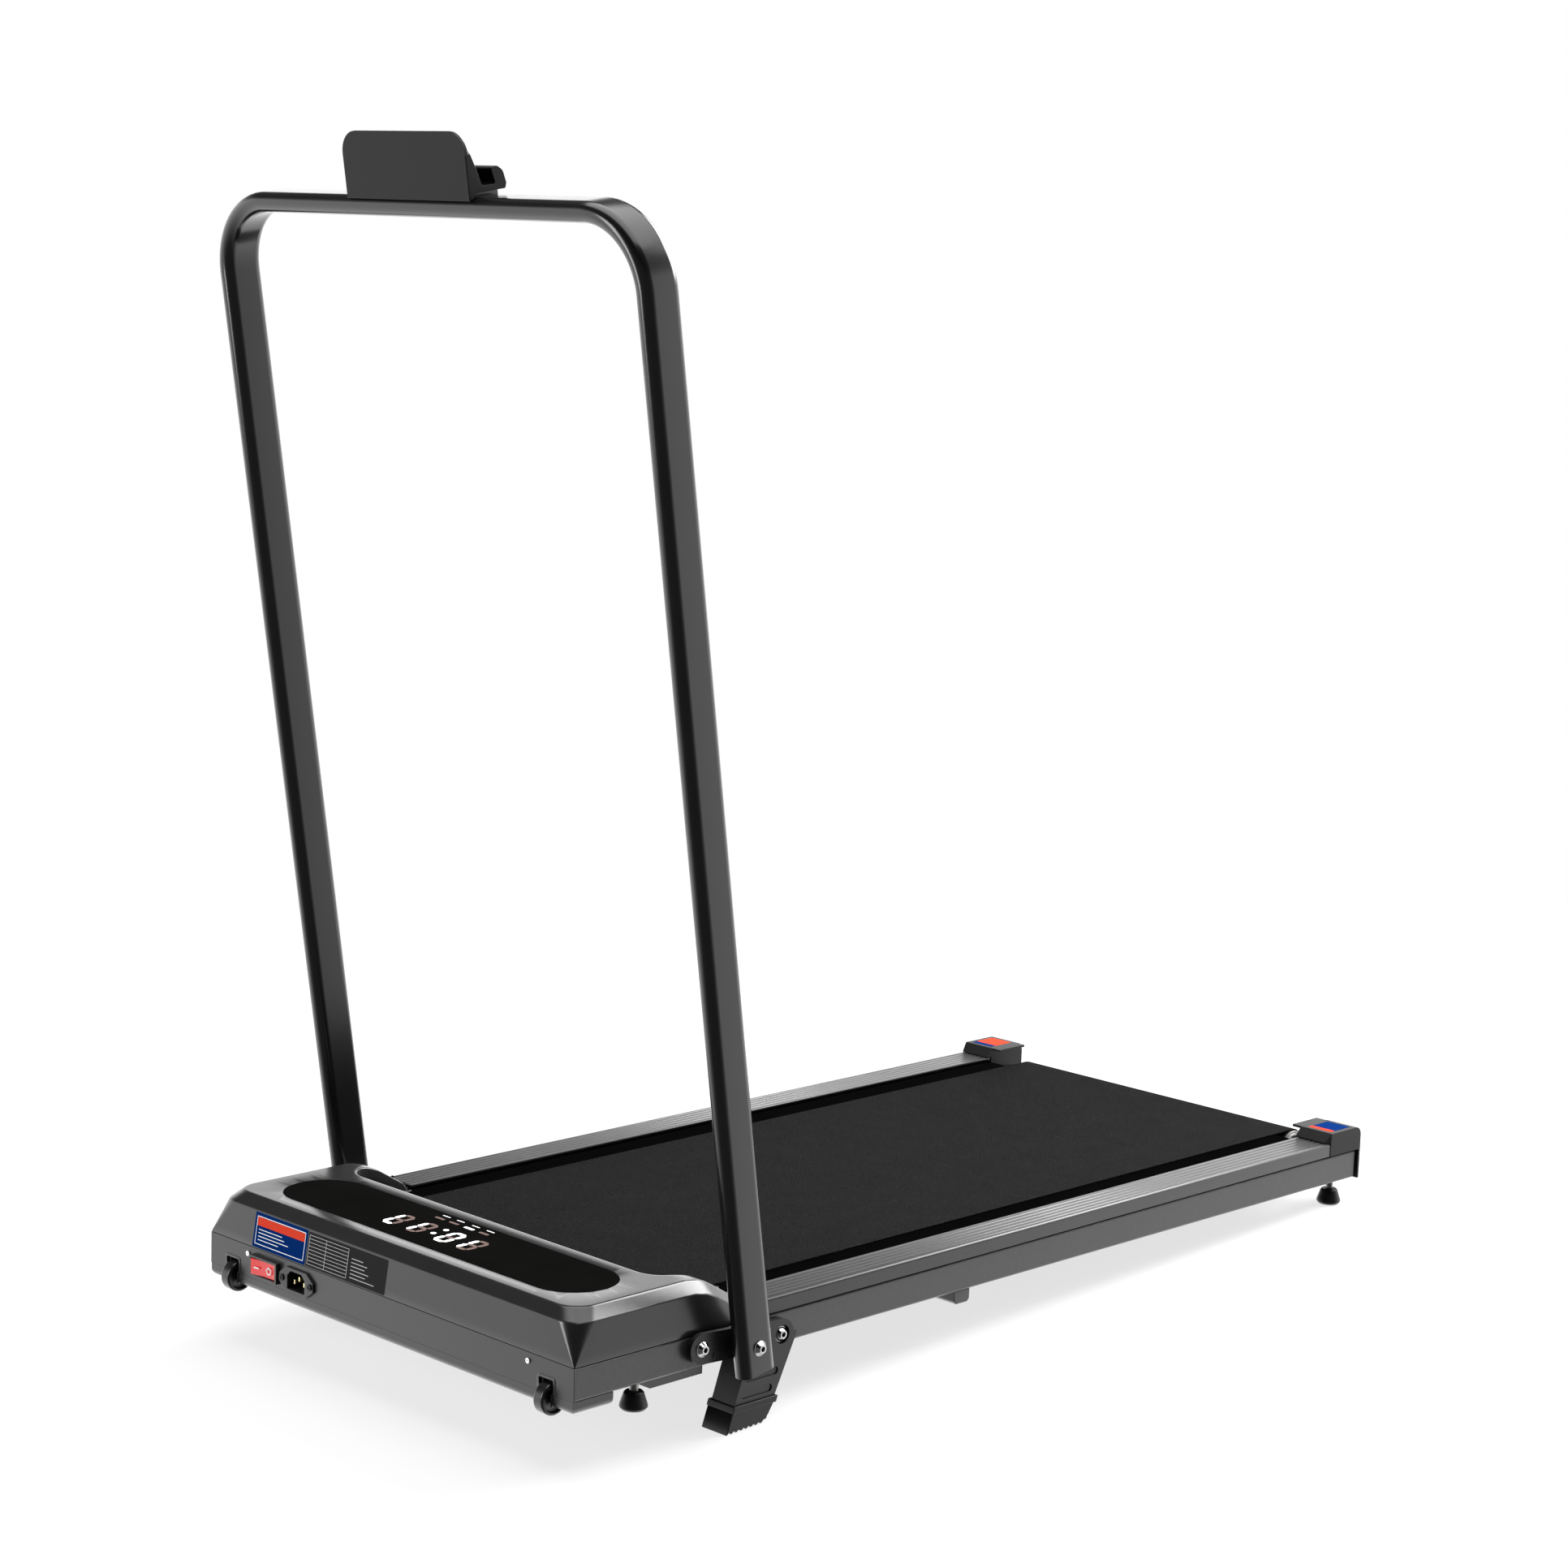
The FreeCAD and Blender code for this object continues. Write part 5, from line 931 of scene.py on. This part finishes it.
BLUE_LABEL, DARK_LABEL = (-187.8, -110.6, 60.4, 91.8), (-109.8, 2.4, 60.4, 91.2)
RULED_GRID = (-108.0, -52.0, 62.6, 88.6)
PLATE_THICK, FRAME_IN, LINE = 0.15, 3.0, 0.7
FRONT_LEAN = 5.0 / WALL_RISE
ROCKER_TILT, ROCKER_DISH, ROCKER_HALF = math.radians(6.0), 1.2, 16.5


def on_front(low, high, thick, edge, corner):
    """A thin label on the hood's slanted front, from (x, z) to (x, z)."""
    points, faces = slab(oblong(low, high, corner, 3), -thick, 0.4, edge, "y", 1)
    points[:, 1] += (points[:, 2] - HOOD_LOW) * FRONT_LEAN
    return points, faces


def stroke(x, z, long, tall):
    """A thin printed line on the slanted front."""
    return on_front((x, z), (x + long, z + tall), 0.2, 0.04, 0.1)


def make_labels():
    """Plain panels in the places of the front labels: a blue one with a coloured band and a
    white frame, a ruled one and a plain one.  None carries any lettering."""
    left, right, low, high = BLUE_LABEL
    plate = on_front((left, low), (right, high), PLATE_THICK, 0.15, 0.4)
    piece("label_blue_plate", plate, LABEL_BLUE, "frame")
    a, b, c, d = left + FRAME_IN, right - FRAME_IN, low + FRAME_IN, high - FRAME_IN
    lines = [stroke(a, c, b - a, LINE), stroke(a, d - LINE, b - a, LINE),
             stroke(a, c, LINE, d - c), stroke(b - LINE, c, LINE, d - c)]
    for row, long in enumerate((30.0, 44.0, 38.0, 34.0)):
        lines.append(stroke(a + 4.0, c + 4.0 + 3.1 * row, long, LINE))
    piece("label_white_lines", lines, WHITE_INK, "frame")
    band = on_front((a + 0.9, d - 8.6), (b - 0.9, d - 0.9), 0.22, 0.05, 0.2)
    piece("label_band", band, LABEL_ORANGE, "frame")
    left, right, low, high = DARK_LABEL
    dark = on_front((left, low), (right, high), PLATE_THICK, 0.15, 0.4)
    piece("label_dark_plates", dark, LABEL_BLACK, "frame")
    left, right, low, high = RULED_GRID
    grid = [stroke(left, low + 3.2 * row, right - left, 0.45) for row in range(9)]
    grid += [stroke(x, low, 0.5, high - low) for x in (left, left + 24.0, right - 0.4)]
    for row, long in enumerate((16.0, 22.0, 19.0, 25.0, 21.0, 34.0)):
        grid.append(stroke(right + 5.0, 81.0 - 3.3 * row, long, LINE))
    piece("label_grey_lines", grid, GREY_INK, "frame")


def make_stickers():
    """Two-colour stickers on top of the end caps, plain."""
    inner, outer = 219.0, 247.0
    for side, word, inks in ((1, "right", (LABEL_BLUE, LABEL_ORANGE)),
                             (-1, "left", (LABEL_ORANGE, LABEL_BLUE))):
        top = deck_box("end_cap_" + word)[1][2]
        spans = (("large", 1052.0, 1078.0), ("strip", 1044.5, 1051.5))
        for (part, near, far), ink in zip(spans, inks):
            outline = oblong((side * inner, near), (side * outer, far), 0.8, 3)
            patch = slab(outline, top - 0.1, top + 0.12, 0.05, "z", 1)
            piece("sticker_%s_%s" % (part, word), patch, ink, "frame")


def on_button(part):
    """A flat mark laid on the rocker's hollowed face and turned with its tilt."""
    low, high = deck_box("rocker_button")
    centre = to_deck(joint_place("mains_rocker_tilt"))
    axle, face = 2.0, 5.75
    (points, faces), c, s = part, math.cos(ROCKER_TILT), math.sin(ROCKER_TILT)
    x, y = points[:, 0], points[:, 1]
    depth = y - face + ROCKER_DISH * (1 - np.abs(x) / ROCKER_HALF) + 0.05 - axle
    spun = np.column_stack([x * c - depth * s, x * s + depth * c, points[:, 2]])
    return spun + np.array([centre[0], centre[1], (low[2] + high[2]) / 2]), faces


def make_switch_marks():
    """The white dash and ring on the rocker's two faces."""
    dash = slab(oblong((-11.0, -0.7), (-4.8, 0.7), 0.3), -0.15, 0.1, 0.06, "y")
    turn = np.linspace(0, 2 * math.pi, 40, endpoint=False)
    circle = np.column_stack([np.cos(turn), np.sin(turn)])
    middle = np.array([8.2, 0])
    ring = sleeve(middle + 3.4 * circle, middle + 2.3 * circle, -0.15, 0.1)
    piece("rocker_marks", [on_button(dash), on_button(ring)], WHITE_INK, "mains_rocker")


def make_notch_frames():
    """The raised rim round each wheel notch in the front plate."""
    clear, wide, foot = 3.0, 2.2, RAIL_LOW + 1
    for word in SIDES:
        (x, _, axle_z), radius, half_wide = wheel_size(word)
        half, top = half_wide + clear, axle_z + radius + clear
        outer = oblong((x - half - wide, foot), (x + half + wide, top + wide),
                       [0, 0, 3.5, 3.5], 5)
        inner = oblong((x - half, foot), (x + half, top), [0, 0, 1.5, 1.5], 5)
        piece("notch_rim_" + word, sleeve(outer, inner, 0.2, -0.5), FRAME_PAINT, "frame")


# ---------------- CAD nodes that stay

def carry(finish_of, edge_of):
    """Give each CAD node that still shows its finish, and round its edges with modifiers."""
    for name, node in frame["nodes"].items():
        if node.hide_render:
            continue
        node.data.materials.clear()
        node.data.materials.append(finish_of[name])
        custom = node.data.attributes.get("custom_normal")
        if custom is not None:
            node.data.attributes.remove(custom)
        seams = node.modifiers.new("merge", "WELD")
        seams.merge_threshold = 0.00001
        edge = edge_of.get(name, USUAL_EDGE)
        if edge:
            bevel = node.modifiers.new("edges", "BEVEL")
            bevel.width = edge * MM
            bevel.segments = 2
            bevel.limit_method = "ANGLE"
            bevel.angle_limit = math.radians(32)
            bevel.use_clamp_overlap = True
        shade_evenly(node)


def sides(name):
    """A node's name on both sides."""
    return [name + "_left", name + "_right"]


def finishes():
    """Which finish each CAD node that still shows takes; the rest is zinc plated."""
    groups = [
        (FRAME_PAINT, ["front_beam", "cross_tubes", "under_bar", "bottom_pan", "motor_cradle",
                       "wheel_forks"]),
        (LEG_PAINT, sides("hinge_plate") + sides("stand_leg")),
        (RUBBER, ["deck_cushions", "drive_belt", *sides("foot_pad_front"),
                  *sides("foot_pad_rear")]),
        (BOARD_BLACK, ["deck_board"]),
        (CAP_GREY, sides("end_cap")),
        (TRIM_BLACK, ["rocker_housing", "power_inlet", "holder_saddle", "motor_can"]),
        (ROCKER_RED, ["rocker_button"]),
        (BRASS, ["inlet_blades"]),
        (CHROME, ["hinge_bolts"]),
        (SCREW_STEEL, ["face_screws"]),
        (ALLOY, ["heat_sink", "roller_pulley"]),
        (IRON, ["flywheel_pulley"]),
        (BLACK_STEEL, ["tension_bolts", "axle_blocks"]),
        (BOARD_GREEN, ["controller_board", "display_board"]),
    ]
    found = {name: ZINC for name in frame["nodes"]}
    for material, names in groups:
        found.update(dict.fromkeys(names, material))
    return found


USUAL_EDGE = 0.5
EDGES = {"front_beam": 1.0, "bottom_pan": 0.8, "under_bar": 0.8, "hinge_bolts": 0.25,
         "face_screws": 0.12, "inlet_blades": 0.2,
         **dict.fromkeys(sides("stand_leg"), 0.6), **dict.fromkeys(sides("hinge_plate"), 0.7),
         **dict.fromkeys(sides("end_cap"), 1.3),
         **dict.fromkeys(["controller_board", "display_board", "heat_sink",
                          "front_roller_bearings", "rear_roller_bearings"], 0.0)}


# ---------------- stage

def make_floor():
    """A plain pale floor, a round sheet that fades out towards its rim."""
    corners, far, full = 96, 2.1, 0.95
    turn = np.linspace(0, 2 * math.pi, corners, endpoint=False)
    mesh = bpy.data.meshes.new("floor")
    ring = np.column_stack([far * np.cos(turn), far * np.sin(turn), np.zeros(corners)])
    mesh.from_pydata(ring.tolist(), [], [list(range(corners))])
    floor = put("floor", mesh)
    material = finish("pale floor", grey(0.90), 0.8, scale=60.0, dust=0.0, patch=0.01,
                      shine=0.1)
    tree = material.node_tree
    span = tree.nodes.new("ShaderNodeVectorMath")
    span.operation = "LENGTH"
    tree.links.new(place_in(tree), span.inputs[0])
    fade = add_fade(tree, span.outputs["Value"], full, 2.0, 0.26, 0.0)
    tree.links.new(fade, tree.nodes["Principled BSDF"].inputs["Alpha"])
    mesh.materials.append(material)
    floor.visible_glossy = False


def soft_light(name, place, aim, wide, tall, power):
    """A rectangular soft light at a place, aimed at a point."""
    lamp = bpy.data.lights.new(name, "AREA")
    lamp.shape = "RECTANGLE"
    lamp.size, lamp.size_y = wide, tall
    lamp.energy = power
    thing = put(name, lamp)
    turn = (Vector(aim) - Vector(place)).to_track_quat("-Z", "Y").to_matrix().to_4x4()
    thing.matrix_world = Matrix.Translation(place) @ turn
    thing.visible_camera = False


SKY = ((0.0, 2.1), (0.24, 2.1), (0.40, 0.24), (0.50, 0.07), (0.72, 0.10), (1.0, 0.6))
BACKDROP = (-0.7071, 0.7071, 0.0)


def make_surround():
    """A studio surround: a bright backdrop round the far half of the horizon, dim higher up
    and on the near side, and plain white where nothing stands in front of it."""
    world = bpy.data.worlds.new("studio")
    bpy.context.scene.world = world
    world.use_nodes = True
    tree = world.node_tree
    lighting = tree.nodes["Background"]
    way = tree.nodes.new("ShaderNodeTexCoord").outputs["Generated"]
    toward = tree.nodes.new("ShaderNodeVectorMath")
    toward.operation = "DOT_PRODUCT"
    tree.links.new(way, toward.inputs[0])
    toward.inputs[1].default_value = BACKDROP
    fade = add_fade(tree, toward.outputs["Value"], -0.68, 0.30, 0.07, 1.0)
    tree.links.new(fade, lighting.inputs["Strength"])
    ramp = tree.nodes.new("ShaderNodeValToRGB")
    stops = ramp.color_ramp.elements
    while len(stops) < len(SKY):
        stops.new(1.0)
    for stop, (level, light) in zip(stops, SKY):
        stop.position, stop.color = level, grey(light)
    tree.links.new(split_axes(tree, way)["Z"], ramp.inputs["Fac"])
    tree.links.new(ramp.outputs["Color"], lighting.inputs["Color"])
    behind = tree.nodes.new("ShaderNodeBackground")
    behind.inputs["Color"].default_value = grey(1.0)
    both = tree.nodes.new("ShaderNodeMixShader")
    seen = tree.nodes.new("ShaderNodeLightPath")
    tree.links.new(seen.outputs["Is Camera Ray"], both.inputs["Fac"])
    tree.links.new(lighting.outputs[0], both.inputs[1])
    tree.links.new(behind.outputs[0], both.inputs[2])
    tree.links.new(both.outputs[0], tree.nodes["World Output"].inputs["Surface"])


def make_light():
    """Soft boxes overhead, behind, and at the left of the front."""
    soft_light("overhead", (0.1, 0.0, 3.0), (0, 0, 0), 2.6, 3.2, 85)
    soft_light("behind", (0.55, 2.4, 2.2), (0.2, 0, 0.1), 2.6, 1.9, 230)
    soft_light("at_front_left", (-1.0, -2.9, 1.1), (0, 0, 0.3), 0.7, 1.8, 42)


CAMERA = {"place": (2253.7, -1816.4, 987.0), "aim": (-0.69211, 0.70385, -0.15991),
          "up": (-0.13604, 0.09038, 0.98657), "lens": 79.02484}


def make_camera():
    """The camera, given in the deck's frame: its place, its aim and its upward direction."""
    camera = bpy.data.cameras.new("camera")
    camera.sensor_width = 36.0
    camera.lens = CAMERA["lens"]
    thing = put("camera", camera)
    aim = Vector(TURN @ np.array(CAMERA["aim"])).normalized()
    up = Vector(TURN @ np.array(CAMERA["up"])).normalized()
    right = aim.cross(up).normalized()
    up = right.cross(aim)
    spin = Matrix((right, up, -aim)).transposed().to_4x4()
    thing.matrix_world = Matrix.Translation(to_row([CAMERA["place"]])[0]) @ spin
    bpy.context.scene.camera = thing


# ---------------- all of it

make_camera()
make_hood()
make_display()
make_rails()
make_skirts()
make_belt()
make_handrail()
make_holder()
make_wheels()
make_boots()
make_labels()
make_stickers()
make_switch_marks()
make_notch_frames()
carry(finishes(), EDGES)
make_floor()
make_surround()
make_light()
bpy.context.scene.view_settings.view_transform = "Standard"
